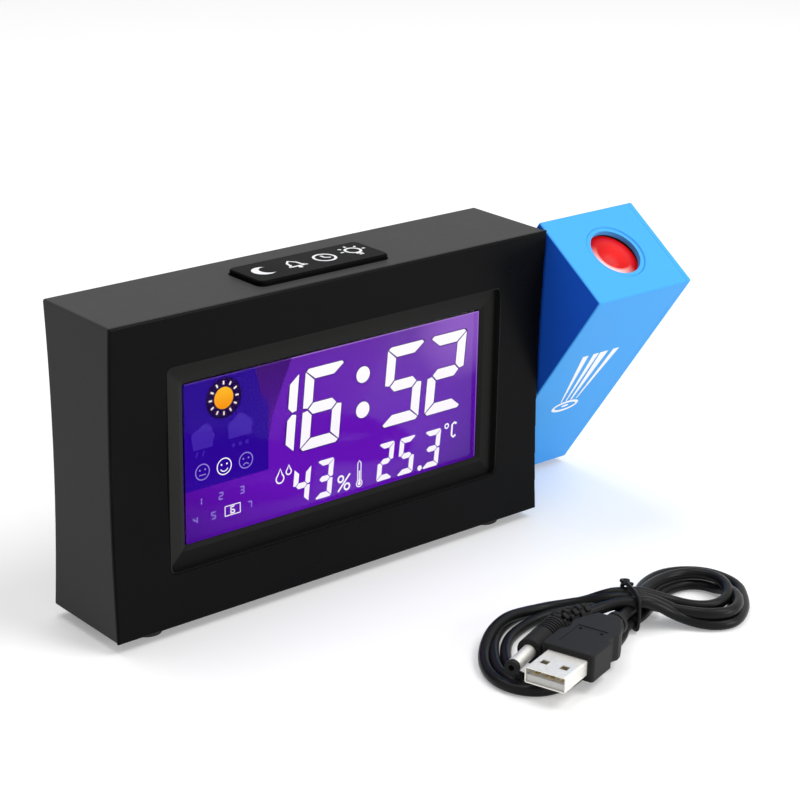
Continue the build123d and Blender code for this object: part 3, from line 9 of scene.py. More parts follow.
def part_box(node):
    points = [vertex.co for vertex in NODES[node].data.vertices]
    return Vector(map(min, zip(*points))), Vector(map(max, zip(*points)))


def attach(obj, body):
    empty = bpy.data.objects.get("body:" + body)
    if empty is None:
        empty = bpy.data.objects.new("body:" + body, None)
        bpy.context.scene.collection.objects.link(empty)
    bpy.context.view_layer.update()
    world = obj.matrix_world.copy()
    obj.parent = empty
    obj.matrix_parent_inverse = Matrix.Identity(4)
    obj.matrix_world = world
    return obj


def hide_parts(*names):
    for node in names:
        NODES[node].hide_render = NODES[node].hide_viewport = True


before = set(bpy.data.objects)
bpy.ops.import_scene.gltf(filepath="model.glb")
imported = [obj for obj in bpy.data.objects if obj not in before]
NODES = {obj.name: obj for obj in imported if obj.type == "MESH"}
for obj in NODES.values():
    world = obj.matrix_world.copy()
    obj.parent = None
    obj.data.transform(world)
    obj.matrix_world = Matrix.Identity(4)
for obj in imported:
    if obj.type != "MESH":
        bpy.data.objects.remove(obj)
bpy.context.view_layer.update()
MM = 0.001


def metres(points):
    return [Vector(p) * MM for p in points]


# ---------------------------------------------------------------- camera
camera = bpy.data.objects.new("camera", bpy.data.cameras.new("camera"))
bpy.context.scene.collection.objects.link(camera)
eye = Vector((-380.88, -465.68, 271.56)) * MM
look = Vector((0.60650, 0.71430, -0.34918)).normalized()
down = Vector((-0.21192, -0.27806, -0.93690)).normalized()
side = down.cross(look).normalized()
camera.matrix_world = Matrix.Translation(eye) @ Matrix((side, -down, -look)).transposed().to_4x4()
camera.data.lens = 97.75
camera.data.sensor_width = 36
camera.data.clip_start, camera.data.clip_end = 0.05, 40
bpy.context.scene.camera = camera

# ---------------------------------------------------------------- the lead
# where the tie stands, in millimetres, and how far the lead and the tie in it are turned, in degrees
LEAD_X, LEAD_Y, LEAD_TURN, TIE_SKEW = 25.6, -88.15, -39.97, 18
# the cable's thickness, and the height of its middle on the table and on a cable
CABLE_D, CABLE_GAP = 3.2, 0.05
LYING = CABLE_D / 2 + CABLE_GAP
STACKED = LYING + CABLE_D + 2 * CABLE_GAP
# outlines of the two loops and of the last right turn inside its loop. The left one's last point only
# gives its neighbours their direction
LEFT_LOOP = [(-6, -10), (-11.5, -19.5), (-17, -28.5), (-22.4, -37), (-28, -40.6), (-34, -39), (-38, -33),
             (-39.2, -24), (-38.2, -14), (-34.5, -6), (-29, 0.4), (-22, 4.6), (-14, 4.4), (-3, 0.4)]
RIGHT_LOOP = [(14, -0.6), (22, -1.4), (28, 0.6), (31.6, 7), (32.4, 15), (30, 22.4), (24, 26.6), (17, 25.4),
              (10.5, 19.6), (5.4, 11.4)]
INNER_LOOP = [(11.5, 5.0), (18, 3.4), (24.4, 4.2), (28.6, 8.4), (29.6, 14.4), (27.6, 20.0), (23.4, 24.0),
              (18.4, 24.6), (13.4, 22.4), (9.2, 18.4), (5.4, 13.0)]
# each turn of a loop: how far outside the outline it lies at each point, and how high
LEFT_TURNS = [
    ([-CABLE_D] * 13, [LYING] * 10 + [2.0, 2.6, 4.2]),
    ([CABLE_D] * 7 + [3.0, 1.6, 0.6, 0.2, 0.0, 0.2], [LYING] * 7 + [2.0, 4.0, 4.6, 3.4, 3.0, 4.6]),
    ([0.0] * 8 + [0.6, 1.6, 2.6, 3.0, 2.6], [LYING] * 12 + [3.2]),
]
RIGHT_TURNS = [
    ([0.4, 1.4, 2.2, 1.8, 2.2, 5.0, 7.0, 7.6, 6.0, 2.4], [3.2] + [LYING] * 8 + [2.0]),
    ([-0.4, 1.2, 1.6, 0.4, -1.6, -3.0, -2.4, -1.8, -1.4, -3.0],
     [4.8] + [STACKED] * 3 + [4.4, 1.9] + [LYING] * 3 + [1.9]),
    ([-2.9, -1.9, -1.1, -1.5, -1.1, 1.7, 3.7, 4.3, 2.7, -0.6], [3.0] + [LYING] * 8 + [2.0]),
    ([0.0] * 11, [5.6, 4.6, 4.4, 4.8, 5.6, 5.8, 5.4] + [STACKED] * 3 + [4.9]),
]
# lanes through the tie: place across and height in its middle, and the slope that they cross it at
UPPER_LANES = [(-3.3, 8.67), (1.65, 5.81), (0.0, 8.67), (3.3, 8.67)]
LOWER_LANES = [(3.3, 2.95), (-3.3, 2.95), (0.0, 2.95)]
UPPER_SLOPE, LOWER_SLOPE, TIE_REACH = -0.2, 0.7, 4.5
WAY_FROM_BARREL = [(-12.43, -7.2, 7.05), (-8.9, -5.4, 7.6)]
WAY_TO_USB = [(5.4, 5.6, 4.6), (1.8, 0.8, 5.2), (-2, -3.8, 6.4), (-5.4, -7.6, 7.4)]
USB_END = (-4.6, -13, 7.4)


def lead_point(u, v, z, turn=0.0):
    """Place of a point given in the lead's own frame, or in the tie's frame with its turn."""
    a, b = radians(turn), radians(LEAD_TURN)
    u, v = u * cos(a) - v * sin(a), u * sin(a) + v * cos(a)
    return LEAD_X + u * cos(b) - v * sin(b), LEAD_Y + u * sin(b) + v * cos(b), z


def at_tie(points):
    return [lead_point(*p, TIE_SKEW) for p in points]


def one_turn(loop, outside, height, hand=1):
    """One turn of a loop, moved outwards and up.

    The hand is 1 for a loop that runs anticlockwise, and -1 for one that runs clockwise.
    """
    turn = []
    for k, (far, high) in enumerate(zip(outside, height)):
        before, after = loop[k - 1], loop[(k + 1) % len(loop)]
        run = Vector((after[0] - before[0], after[1] - before[1])).normalized() * (far * hand)
        turn.append(lead_point(loop[k][0] + run.y, loop[k][1] - run.x, high))
    return turn


def through_tie(across, height, slope, heading=1):
    """A lane through the tie, to the right or, with a heading of -1, to the left."""
    steps = [k * heading for k in (-TIE_REACH, 0, TIE_REACH)]
    return at_tie((u, across + slope * u, height) for u in steps)


# from the barrel plug through four right turns with three left turns between them, and to the USB plug
route = [lead_point(*p) for p in WAY_FROM_BARREL]
for number in range(4):
    route += through_tie(*UPPER_LANES[number], UPPER_SLOPE)
    route += one_turn(RIGHT_LOOP if number < 3 else INNER_LOOP, *RIGHT_TURNS[number])
    if number < 3:
        route += through_tie(*LOWER_LANES[number], LOWER_SLOPE, heading=-1)
        route += one_turn(LEFT_LOOP, *LEFT_TURNS[number], hand=-1)
route += at_tie(WAY_TO_USB) + [lead_point(*USB_END)]


def line(name, points, radius, cyclic=False):
    """A round NURBS line through the frame, in metres."""
    curve = bpy.data.curves.new(name, "CURVE")
    curve.dimensions = "3D"
    spline = curve.splines.new("NURBS")
    spline.points.add(len(points) - 1)
    for point, place in zip(spline.points, points):
        point.co = (*place, 1)
    spline.order_u = 3
    spline.use_endpoint_u = not cyclic
    spline.use_cyclic_u = cyclic
    spline.resolution_u = 6
    curve.bevel_depth = radius
    curve.bevel_resolution = 4
    curve.use_fill_caps = True
    made = bpy.data.objects.new(name, curve)
    bpy.context.scene.collection.objects.link(made)
    return made


def as_mesh(made):
    """The same object as a plain mesh."""
    bpy.context.view_layer.update()
    mesh = bpy.data.meshes.new_from_object(made.evaluated_get(bpy.context.evaluated_depsgraph_get()))
    name = made.name
    bpy.data.objects.remove(made)
    mesh.name = name
    for polygon in mesh.polygons:
        polygon.use_smooth = True
    plain = bpy.data.objects.new(name, mesh)
    bpy.context.scene.collection.objects.link(plain)
    return plain


lead = line("power_lead", metres(route), CABLE_D / 2 * MM)
TIE_WIRE_R, TWIST_R = 0.62, 0.5
tie_loop = [(0, -5.9, 1.4), (0, -6.1, 5.8), (0, -5.9, 10.2), (0, -4.6, 11.4), (0, 0, 11.6), (0, 4.6, 11.4),
            (0, 5.9, 10.2), (0, 6.1, 5.8), (0, 5.9, 1.4), (0, 4.4, 0.68), (0, 0, 0.68), (0, -4.4, 0.68)]
tie = as_mesh(line("lead_wire_tie", metres(at_tie(tie_loop)), TIE_WIRE_R * MM, cyclic=True))
knot_way = [(-0.9, 3.0, 11.4), (0.6, 3.6, 11.9), (1.3, 4.6, 11.6), (0.4, 5.4, 11.5), (-0.9, 5.0, 11.8),
            (-1.1, 3.9, 11.9), (0.2, 3.0, 11.7), (1.8, 2.6, 11.2)]
knot = as_mesh(line("lead_tie_twist", metres(at_tie(knot_way)), TWIST_R * MM))


# ---------------------------------------------------------------- finishes
def tone(r, g, b):
    """Linear colour of a screen colour."""
    return tuple(v / 3294.6 if v <= 10 else ((v / 255 + 0.055) / 1.055) ** 2.4 for v in (r, g, b)) + (1.0,)


def shade(colour, by):
    return tuple(min(1.0, c * by) for c in colour[:3]) + (1.0,)


class Value:
    """A socket of a finish. Arithmetic on it adds Math nodes."""

    def __init__(self, finish, socket):
        self.finish, self.socket = finish, socket

    def maths(self, operation, *inputs):
        return self.finish.node("ShaderNodeMath", {"operation": operation}, dict(enumerate(inputs)))

    def __add__(self, other):
        return self.maths("ADD", self, other)

    def __sub__(self, other):
        return self.maths("SUBTRACT", self, other)

    def __rsub__(self, other):
        return self.maths("SUBTRACT", other, self)

    def __mul__(self, other):
        return self.maths("MULTIPLY", self, other)

    def __truediv__(self, other):
        return self.maths("DIVIDE", self, other)

    def __pow__(self, other):
        return self.maths("POWER", self, other)

    def __mod__(self, other):
        return self.maths("FLOORED_MODULO", self, other)

    def __gt__(self, other):
        return self.maths("GREATER_THAN", self, other)

    def __lt__(self, other):
        return self.maths("LESS_THAN", self, other)

    def __abs__(self):
        return self.maths("ABSOLUTE", self)

    def held(self):
        """The value, kept between 0 and 1."""
        return self.maths("MINIMUM", self.maths("MAXIMUM", self, 0.0), 1.0)


class Finish:
    """One material: a Principled shader with fixed numbers, and the nodes that vary it."""

    def __init__(self, name, **fixed):
        self.material = bpy.data.materials.new(name)
        self.material.use_nodes = True
        self.nodes, self.links = self.material.node_tree.nodes, self.material.node_tree.links
        self.shader = self.nodes["Principled BSDF"]
        for socket, value in fixed.items():
            self.shader.inputs[socket.replace("_", " ")].default_value = value
        self.place = self.node("ShaderNodeTexCoord", out=3)

    def node(self, kind, settings=(), sockets=(), out=0):
        made = self.nodes.new(kind)
        for key, value in dict(settings).items():
            setattr(made, key, value)
        for key, value in dict(sockets).items():
            self.plug(made.inputs[key], value)
        return Value(self, made.outputs[out])

    def plug(self, socket, value):
        if isinstance(value, Value):
            self.links.new(value.socket, socket)
        else:
            socket.default_value = value

    def set(self, **linked):
        for socket, value in linked.items():
            self.plug(self.shader.inputs[socket.replace("_", " ")], value)
        return self

    def noise(self, scale, detail=3.0, place=None):
        sockets = {"Vector": place or self.place, "Scale": scale, "Detail": detail}
        return self.node("ShaderNodeTexNoise", {}, sockets)

    def stretched(self, scale):
        return self.node("ShaderNodeMapping", {}, {"Vector": self.place, "Scale": scale})

    def mix(self, factor, a, b):
        return self.node("ShaderNodeMix", {"data_type": "RGBA"}, {0: factor, 6: a, 7: b}, out=2)

    def along(self, direction, origin=(0, 0, 0)):
        """Distance along a direction from an origin, in millimetres."""
        direction = Vector(direction)
        across = self.node("ShaderNodeVectorMath", {"operation": "DOT_PRODUCT"},
                           {0: self.place, 1: direction / MM}, out=1)
        return across - direction.dot(Vector(origin))

    def bump(self, height, distance):
        return self.set(Normal=self.node("ShaderNodeBump", {}, {"Height": height, "Distance": distance}))


def moulded(name, colour, rough, grain=0.00002, size=2600, gloss=0.25, spread=0.12):
    """Moulded plastic or rubber: fine grain, slightly cloudy colour, uneven polish."""
    made = Finish(name, Specular_IOR_Level=gloss)
    cloud = made.noise(38, 4)
    made.set(Base_Color=made.mix(cloud, shade(colour, 1 - spread), shade(colour, 1 + spread)),
             Roughness=(cloud - 0.5) * 0.16 + made.noise(420, 2) * 0.06 + (rough - 0.03))
    return made.bump(made.noise(size, 2), grain)


def metal(name, colour, rough, stretch=(60, 60, 900), bare=1.0):
    """Bare or plated metal with fine drawn lines."""
    made = Finish(name, Metallic=bare)
    lines = made.noise(6, 4, made.stretched(stretch))
    made.set(Base_Color=made.mix(lines, shade(colour, 0.86), colour), Roughness=lines * 0.18 + (rough - 0.09))
    return made.bump(lines, 0.00001)


def circuit(name, colour):
    """Circuit board: lacquer over copper tracks and pads."""
    made = Finish(name, Specular_IOR_Level=0.4)
    row_pitch, column_pitch, half_track = 2.6, 3.4, 0.22
    rows = abs(made.along((1, 0, 0)) % row_pitch - row_pitch / 2) < half_track
    columns = abs(made.along((0, 0, 1)) % column_pitch - column_pitch / 2) < half_track
    tracks = (rows * (made.noise(60, 0) > 0.5) + columns * (made.noise(52, 0) > 0.53)).held()
    made.set(Base_Color=made.mix(tracks, colour, shade(colour, 2.1)), Roughness=0.42 - tracks * 0.1)
    return made.bump(tracks + made.noise(900) * 0.2, 0.00003)


def glowing(name, low, high, bottom, top):
    """Lit ink of the display: runs from one colour at its bottom to the other at its top."""
    made = Finish(name, Base_Color=(0, 0, 0, 1), Specular_IOR_Level=0.0, Emission_Strength=1.0, Roughness=0.6)
    ramp = ((made.along((0, 0, 1)) - bottom) / (top - bottom) + (made.noise(120, 2) - 0.5) * 0.05).held()
    return made.set(Emission_Color=made.mix(ramp, low, high))


BLUE = (0.066, 0.375, 0.86, 1)
CASE = (0.043, 0.043, 0.043, 1)
finishes = {
    "case": moulded("case_satin_black", CASE, 0.5, grain=0.00003, gloss=0.06),
    "cover": moulded("front_gloss_black", (0.004, 0.004, 0.0043, 1), 0.3, grain=0.000008, gloss=0.04),
    "button": moulded("button_black", (0.0035, 0.0035, 0.0038, 1), 0.32, gloss=0.01),
    "key": moulded("key_rubber", (0.075, 0.078, 0.082, 1), 0.62, size=1800),
    "rubber": moulded("foot_rubber", (0.02, 0.02, 0.02, 1), 0.8, size=1500, grain=0.00004),
    "inner": moulded("inner_black", (0.018, 0.018, 0.019, 1), 0.6),
    "chip": moulded("chip_black", (0.03, 0.03, 0.032, 1), 0.5, size=4000),
    "white": moulded("white_plastic", (0.72, 0.72, 0.7, 1), 0.5, gloss=0.4, spread=0.04),
    "diffuser": moulded("diffuser", (0.8, 0.8, 0.84, 1), 0.65, spread=0.03, gloss=0.4),
    "pink": moulded("silicone_strip", (0.75, 0.32, 0.36, 1), 0.6, size=900),
    "cable": moulded("cable_black", (0.006, 0.006, 0.006, 1), 0.36, grain=0.00002, size=1700, gloss=0.13),
    "plug": moulded("plug_black", (0.023, 0.0225, 0.0225, 1), 0.42, grain=0.00003, size=3200, gloss=0.04),
    "steel": metal("screw_steel", (0.5, 0.5, 0.52, 1), 0.32),
    "nickel": metal("nickel_plate", (0.9, 0.88, 0.83, 1), 0.42, (200, 200, 200), 0.6),
    "gold": metal("contact_gold", (0.9, 0.66, 0.28, 1), 0.25),
    "board": circuit("board_green", (0.02, 0.16, 0.06, 1)),
}

# block: sky blue shell, with painted shade: a deeper blue on the end that faces the body, which lies in its
# shade
INNER_END_X = 57.95
block = moulded("block_blue", BLUE, 0.42, grain=0.00001, gloss=0.06, spread=0.02)
cloud = block.noise(38, 4)
sky_blue = block.mix(cloud, shade(BLUE, 0.98), shade(BLUE, 1.02))
# painted shade: deeper blue for the end in the body's shade
painted_shade_blue = block.mix(cloud, (0.012, 0.115, 0.72, 1), (0.014, 0.13, 0.78, 1))
block.set(Base_Color=block.mix(block.along((1, 0, 0)) < INNER_END_X, sky_blue, painted_shade_blue))
finishes["blue"] = block

# bezel: four sloping faces that meet in mitres, with painted shade by how light falls on them: darkest below,
# then right, above and left, in a dark seam
BEZEL_X, BEZEL_Z, MITRE, SEAM = -19.6, 48.5, 29.8, 0.45
BEZEL_BLACK = (0.021, 0.0215, 0.02, 1)
bezel = moulded("bezel_black", BEZEL_BLACK, 0.42, gloss=0.035)
bezel_x, bezel_z = bezel.along((1, 0, 0), (BEZEL_X, 0, 0)), bezel.along((0, 0, 1), (0, 0, BEZEL_Z))
level = abs(bezel_z) - abs(bezel_x) + MITRE > 0
# painted shade on each face of the bezel, by how light falls on it
painted_face_shade = level * (bezel_z < 0) * 0.75 + level * (bezel_z > 0) * 0.25 + (1 - level) * (bezel_x > 0) * 0.45
cloud = bezel.noise(38, 4)
bezel_low, bezel_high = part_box("display_bezel")
half_w, half_h = (bezel_high.x - bezel_low.x) / 2 / MM, (bezel_high.z - bezel_low.z) / 2 / MM
seam = ((abs(bezel_x) > half_w - SEAM) + (abs(bezel_z) > half_h - SEAM)).held()
faces = bezel.mix((painted_face_shade + cloud * 0.12).held(), BEZEL_BLACK, (0.004, 0.004, 0.004, 1))
bezel.set(Base_Color=bezel.mix(seam, faces, (0.0006, 0.0006, 0.0006, 1)))
finishes["bezel"] = bezel

# battery cell: a dark blue wrap with an orange band at one end
BAND_FROM = 0.72
cells = Finish("cell_wrap", Specular_IOR_Level=0.5, Coat_Weight=0.3)
cell_low, cell_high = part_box("aaa_cells")
run = (cells.along((1, 0, 0)) - cell_low.x / MM) / ((cell_high.x - cell_low.x) / MM)
wrap = cells.mix(run > BAND_FROM, tone(24, 40, 92), tone(200, 120, 30))
cells.set(Base_Color=cells.mix(cells.noise(90), wrap, tone(60, 70, 110)),
          Roughness=cells.noise(300) * 0.1 + 0.25)
finishes["cells"] = cells.bump(cells.noise(500), 0.00002)

# wires of the harness: colours by where each lies across the bundle
WIRE_PAIR = 2.2
wires = Finish("harness_wires", Specular_IOR_Level=0.4)
lane = (wires.along((0, 1, 0)) % WIRE_PAIR) / WIRE_PAIR
wires.set(Base_Color=wires.mix(lane > 0.5, tone(170, 20, 18), tone(22, 22, 24)),
          Roughness=wires.noise(400) * 0.1 + 0.4)
finishes["wires"] = wires.bump(wires.noise(1200), 0.00001)

# lens: deep red dome with painted light: a painted glow in its middle, painted streak highlights, and a
# painted highlight as a pale crescent along its left front rim
TILT = radians(34.5)
BLOCK_ORIGIN = Vector((57.85, 0, 48.2))
BLOCK_UP = Vector((0, -sin(TILT), cos(TILT)))
BLOCK_BACK = Vector((0, cos(TILT), sin(TILT)))


def on_block(x, y, z):
    """Place of a point given in the block's own frame, in millimetres."""
    return BLOCK_ORIGIN + Vector((x, 0, 0)) + BLOCK_BACK * y + BLOCK_UP * z


LENS_X, RIM_START, RIM_WIDTH, GLOW_R = 19.75, 5.5, 0.7, 8.4
lens_centre = on_block(LENS_X, 0, 0)
lens = Finish("lens_red", Roughness=0.3, Emission_Strength=1.0, Specular_IOR_Level=0.12)
lens_x, lens_y = lens.along((1, 0, 0), lens_centre), lens.along(BLOCK_BACK, lens_centre)
reach = (lens_x * lens_x + lens_y * lens_y) ** 0.5
edge = ((reach - RIM_START) / RIM_WIDTH).held()
toward = ((lens_x * -0.76 - lens_y * 0.65) / (reach + 0.01)).held()
# painted highlight as a pale crescent on the rim, painted glow in the middle, painted streak highlights
rim_highlight = (edge * toward ** 1.6 * 1.2).held()
core_glow = (1 - reach / GLOW_R).held()
streak_highlights = (lens.noise(4, 3, lens.stretched((40, 260, 260))) - 0.5).held() * 2.4
red_glow_and_streaks = lens.mix((core_glow * 0.8 + streak_highlights * toward).held(), tone(148, 4, 8), tone(222, 30, 26))
lens.set(Base_Color=lens.mix(lens.noise(160) * 0.3, tone(150, 8, 10), tone(100, 4, 8)),
         Emission_Color=lens.mix(rim_highlight, red_glow_and_streaks, tone(255, 222, 222)))
finishes["lens"] = lens.bump(lens.noise(300), 0.000005)

led = Finish("led_red", Emission_Strength=0.6, Roughness=0.15)
led.set(Base_Color=led.mix(led.noise(300), tone(200, 20, 20), tone(150, 6, 10)),
        Emission_Color=tone(120, 6, 6))
finishes["led"] = led

optics = Finish("optics_clear", Roughness=0.05, Transmission_Weight=1.0, IOR=1.49)
optics.set(Base_Color=optics.mix(optics.noise(200), (0.92, 0.94, 0.95, 1), (1, 1, 1, 1)))
finishes["optics"] = optics.bump(optics.noise(60), 0.00001)

# window: clear sheet that only shows a faint gloss
window = Finish("clear_window")
gloss = window.node("ShaderNodeBsdfAnisotropic", {}, {"Color": (1, 1, 1, 1), "Roughness": 0.06})
clear = window.node("ShaderNodeBsdfTransparent", {}, {"Color": (1, 1, 1, 1)})
weight = window.node("ShaderNodeFresnel", {}, {"IOR": 1.45}) * (window.noise(30) * 0.01 + 0.02)
seen = window.node("ShaderNodeMixShader", {}, {0: weight, 1: clear, 2: gloss})
window.links.new(seen.socket, window.nodes["Material Output"].inputs[0])
finishes["window"] = window

# display glass: violet backlight, darker in the corners, with a paler rise and a bright patch top right
DISPLAY_X, DISPLAY_Z, LCD_Y = BEZEL_X + 1.31, BEZEL_Z - 0.84, -11.6
glass = Finish("display_glass", Base_Color=(0, 0, 0, 1), Specular_IOR_Level=0.0, Emission_Strength=1.0)
glass_x = glass.along((1, 0, 0), (DISPLAY_X, 0, 0))
glass_z = glass.along((0, 0, 1), (0, 0, DISPLAY_Z))
corner = ((glass_x * glass_x / 3200 + glass_z * glass_z / 900) - 0.35).held()
rise = ((glass_z + 2) / 26).held() * ((glass_x + 60) / 120).held()
shine = (1 - ((glass_x - 48) * (glass_x - 48) / 420 + (glass_z - 20) * (glass_z - 20) / 300)).held()
violet = glass.mix(corner, tone(99, 18, 180), tone(68, 9, 138))
violet = glass.mix((rise * 0.8).held(), violet, tone(104, 50, 158))
violet = glass.mix(shine * 0.75, violet, tone(150, 96, 204))
glass.set(Emission_Color=glass.mix((glass.noise(16, 2) * 0.06).held(), violet, tone(120, 40, 190)))
finishes["display"] = glass

WEAR = {
    "case": ["rear_case", "battery_door"],
    "cover": ["front_cover"],
    "bezel": ["display_bezel"],
    "button": ["snooze_button"],
    "key": [f"rear_key_{k}" for k in range(1, 7)],
    "rubber": ["rubber_feet", "friction_washer"],
    "inner": ["pivot_retainer", "lens_tube", "picture_slide", "dc_jack", "buzzer"],
    "chip": ["board_parts", "key_switches", "snooze_switch"],
    "white": ["lcd_frame", "room_sensor", "usb_tongue"],
    "diffuser": ["light_guide"],
    "pink": ["zebra_strip"],
    "plug": ["dc_grip", "dc_strain_relief", "usb_overmould", "dc_tip"],
    "blue": ["projector_housing", "projector_end_cover", "lens_ring"],
    "steel": ["board_screws", "case_screws", "projector_screws"],
    "nickel": ["battery_contacts", "dc_barrel", "usb_shell"],
    "gold": ["usb_contacts"],
    "board": ["main_board", "key_board", "snooze_board", "led_board", "backlight_strip"],
    "cells": ["aaa_cells"],
    "wires": ["projector_harness"],
    "lens": ["projector_lens"],
    "led": ["red_led"],
    "optics": ["condenser_lens"],
    "window": ["display_window"],
    "display": ["lcd_panel"],
    "cable": ["lead_coil", "lead_end_dc", "lead_end_usb", "lead_tie"],
}
for finish_name, members in WEAR.items():
    for member in members:
        slots = NODES[member].material_slots
        for slot in slots:
            slot.material = finishes[finish_name].material
        if not slots:
            NODES[member].data.materials.append(finishes[finish_name].material)


def wear(piece, finish, body, slot, *replaced):
    """Gives a new piece its finish and its body; its slot is not used."""
    piece.data.materials.clear()
    piece.data.materials.append((finishes[finish] if isinstance(finish, str) else finish).material)
    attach(piece, body)
    if replaced:
        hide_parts(*replaced)


wear(lead, "cable", "clock", "cable_black", "lead_coil", "lead_end_dc", "lead_end_usb")
wear(tie, "cable", "clock", "cable_black", "lead_tie")
wear(knot, "cable", "clock", "cable_black")


# ---------------------------------------------------------------- flat prints
def flat(name, shapes, place, facing, finish, body, slot):
    """Thin printed shapes: polygons in two dimensions, put in place by a function."""
    mesh = bmesh.new()
    facing = Vector(facing)
    for shape in shapes:
        corners = [mesh.verts.new(Vector(place(a, b)) * MM) for a, b in shape]
        face = mesh.faces.new(corners)
        face.normal_update()
        if face.normal.dot(facing) < 0:
            face.normal_flip()
    made = bpy.data.objects.new(name, bpy.data.meshes.new(name))
    mesh.to_mesh(made.data)
    mesh.free()
    bpy.context.scene.collection.objects.link(made)
    wear(made, finish, body, slot)
    return made


def arc(cx, cy, r, start=0.0, end=360.0, steps=28, squash=1.0):
    return [(cx + r * cos(radians(start + (end - start) * k / steps)),
             cy + squash * r * sin(radians(start + (end - start) * k / steps))) for k in range(steps + 1)]


def disc(cx, cy, r, squash=1.0):
    return arc(cx, cy, r, squash=squash)[:-1]


def stroke(points, width):
    """A line of even width, as one quad for each of its runs."""
    rails = []
    for k, here in enumerate(points):
        before, after = points[max(k - 1, 0)], points[min(k + 1, len(points) - 1)]
        run = Vector((after[0] - before[0], after[1] - before[1])).normalized() * (width / 2)
        rails.append(((here[0] - run.y, here[1] + run.x), (here[0] + run.y, here[1] - run.x)))
    return [(a[0], a[1], b[1], b[0]) for a, b in zip(rails, rails[1:])]


def circle(cx, cy, r, width, squash=1.0):
    return stroke(arc(cx, cy, r, 0, 360, 30, squash), width)


# the segments run a to f clockwise from the top, and g is the middle one
SEGMENTS = {"1": "bc", "2": "abged", "3": "abgcd", "4": "fgbc", "5": "afgcd", "6": "afgedc", "7": "abc"}
TIME_STROKE = 3.3


def digit(figure, x, z, w, h, t, slant=0.09, gap=0.28):
    """Seven-segment figure with mitred ends and cut outer corners, w wide, h high and t thick."""
    split, half, cut = gap * t / TIME_STROKE + 0.06, h / 2, t * 0.22
    top = [(split + cut, h), (w - split - cut, h), (w - split, h - cut), (w - t - split, h - t),
           (t + split, h - t), (split, h - cut)]
    bar = [(t * 0.5 + split, half), (t + split, half + t / 2), (w - t - split, half + t / 2),
           (w - t * 0.5 - split, half), (w - t - split, half - t / 2), (t + split, half - t / 2)]
    left = [(0, h - split - cut), (0, half + split + t * 0.1), (t * 0.5, half + split),
            (t, half + t / 2 + split), (t, h - t - split), (split * 0.3, h - split - cut * 0.8)]
    right = [(w - a, b) for a, b in left]
    parts = {"a": top, "b": right, "f": left, "g": bar}
    for lower, upper in (("c", right), ("d", top), ("e", left)):
        parts[lower] = [(a, h - b) for a, b in upper]
    return [[(x + a + slant * b, z + b) for a, b in parts[s]] for s in SEGMENTS[figure]]


LAYER = 0.012


def on_display(layer):
    """Places on the display's glass. A higher layer lies nearer to the viewer."""
    return lambda a, b: (DISPLAY_X + a, LCD_Y - LAYER * layer, DISPLAY_Z + b)


def display_print(name, shapes, finish, layer=2):
    return flat(name, shapes, on_display(layer), (0, -1, 0), finish, "clock", "display_glass")


lit = glowing("segment_white", tone(248, 242, 253), tone(255, 253, 255), 24, 64)
dim = glowing("dim_lavender", tone(142, 122, 212), tone(156, 136, 222), 24, 64)
ghost = glowing("ghost_blue", tone(60, 30, 164), tone(68, 38, 172), 40, 60)
area_blue = glowing("weather_blue", tone(46, 8, 152), tone(40, 5, 142), 40, 70)
area_shade = glowing("weather_shade", tone(84, 16, 160), tone(62, 9, 116), 44, 70)
dark_edge = glowing("segment_edge", tone(58, 6, 128), tone(72, 26, 126), 24, 68)
sun_amber = glowing("sun_amber", tone(246, 150, 10), tone(255, 190, 40), 62, 68)
sun_ray = glowing("sun_ray", tone(240, 214, 226), tone(255, 236, 240), 60, 70)
sun_halo = glowing("sun_halo", tone(24, 4, 60), tone(30, 6, 72), 60, 70)
edge_line = glowing("glass_edge", tone(120, 70, 176), tone(168, 120, 214), 24, 72)
black_line = glowing("glass_border", tone(8, 4, 14), tone(12, 8, 18), 24, 72)

weather_area = [(-54, -8), (-25, -8), (-25, 12), (-27.5, 15), (-29.5, 24.2), (-54, 24.2)]
weather_side = [(-25, 0), (-23.6, 8), (-16.5, 24.2), (-29.5, 24.2), (-27.5, 15), (-25, 12)]
display_print("weather_area", [weather_area], area_blue, 1)
display_print("weather_area_side", [weather_side], area_shade, 1)
rim_shapes = stroke([(-53.0, 23.3), (53.0, 23.3)], 0.3) + stroke([(52.9, -23.2), (52.9, 23.3)], 0.3)
display_print("glass_rim", rim_shapes, edge_line, 1)
border_shapes = stroke([(-54.4, 23.75), (54.4, 23.75)], 0.6) + stroke([(-54.4, -23.75), (54.4, -23.75)], 0.7)
border_shapes += stroke([(-53.55, -24), (-53.55, 24)], 0.6) + stroke([(53.5, -24), (53.5, 24)], 0.7)
display_print("glass_border", border_shapes, black_line, 2.5)

# the time, with a dark edge under it, and the readings below: humidity and temperature
big = [("1", -30.3), ("6", -14.0), ("5", 16.0), ("2", 32.4)]
small = [("4", -16.9, -21.6, 6.0, 11.4), ("3", -8.5, -21.7, 5.9, 11.7), ("2", 14.3, -21.9, 5.8, 11.6),
         ("5", 22.2, -22.1, 6.0, 11.7), ("3", 32.0, -22.3, 6.2, 11.7)]
time_shapes, outline_shapes = [], []
for figure, x in big:
    time_shapes += digit(figure, x, -5.4, 14.0, 24.3, 3.0 if figure == "1" else TIME_STROKE)
    outline_shapes += digit(figure, x - 0.3, -5.75, 14.6, 24.9, 3.9, gap=0.0)
for z in (2.1, 12.9):
    time_shapes.append(disc(8.9, z, 2.5))
    outline_shapes.append(disc(8.9, z, 2.85))
display_print("time_edges", outline_shapes, dark_edge, 1)
display_print("time_figures", time_shapes, lit)

reading_shapes = []
for figure, x, z, w, h in small:
    reading_shapes += digit(figure, x, z, w, h, 1.75, slant=0.1, gap=0.2)
# point and percent sign
reading_shapes += [disc(31.1, -21.6, 0.85)] + circle(1.0, -17.6, 0.95, 0.6) + circle(3.3, -20.4, 0.95, 0.6)
reading_shapes += stroke([(0.0, -21.4), (4.4, -16.6)], 0.6)
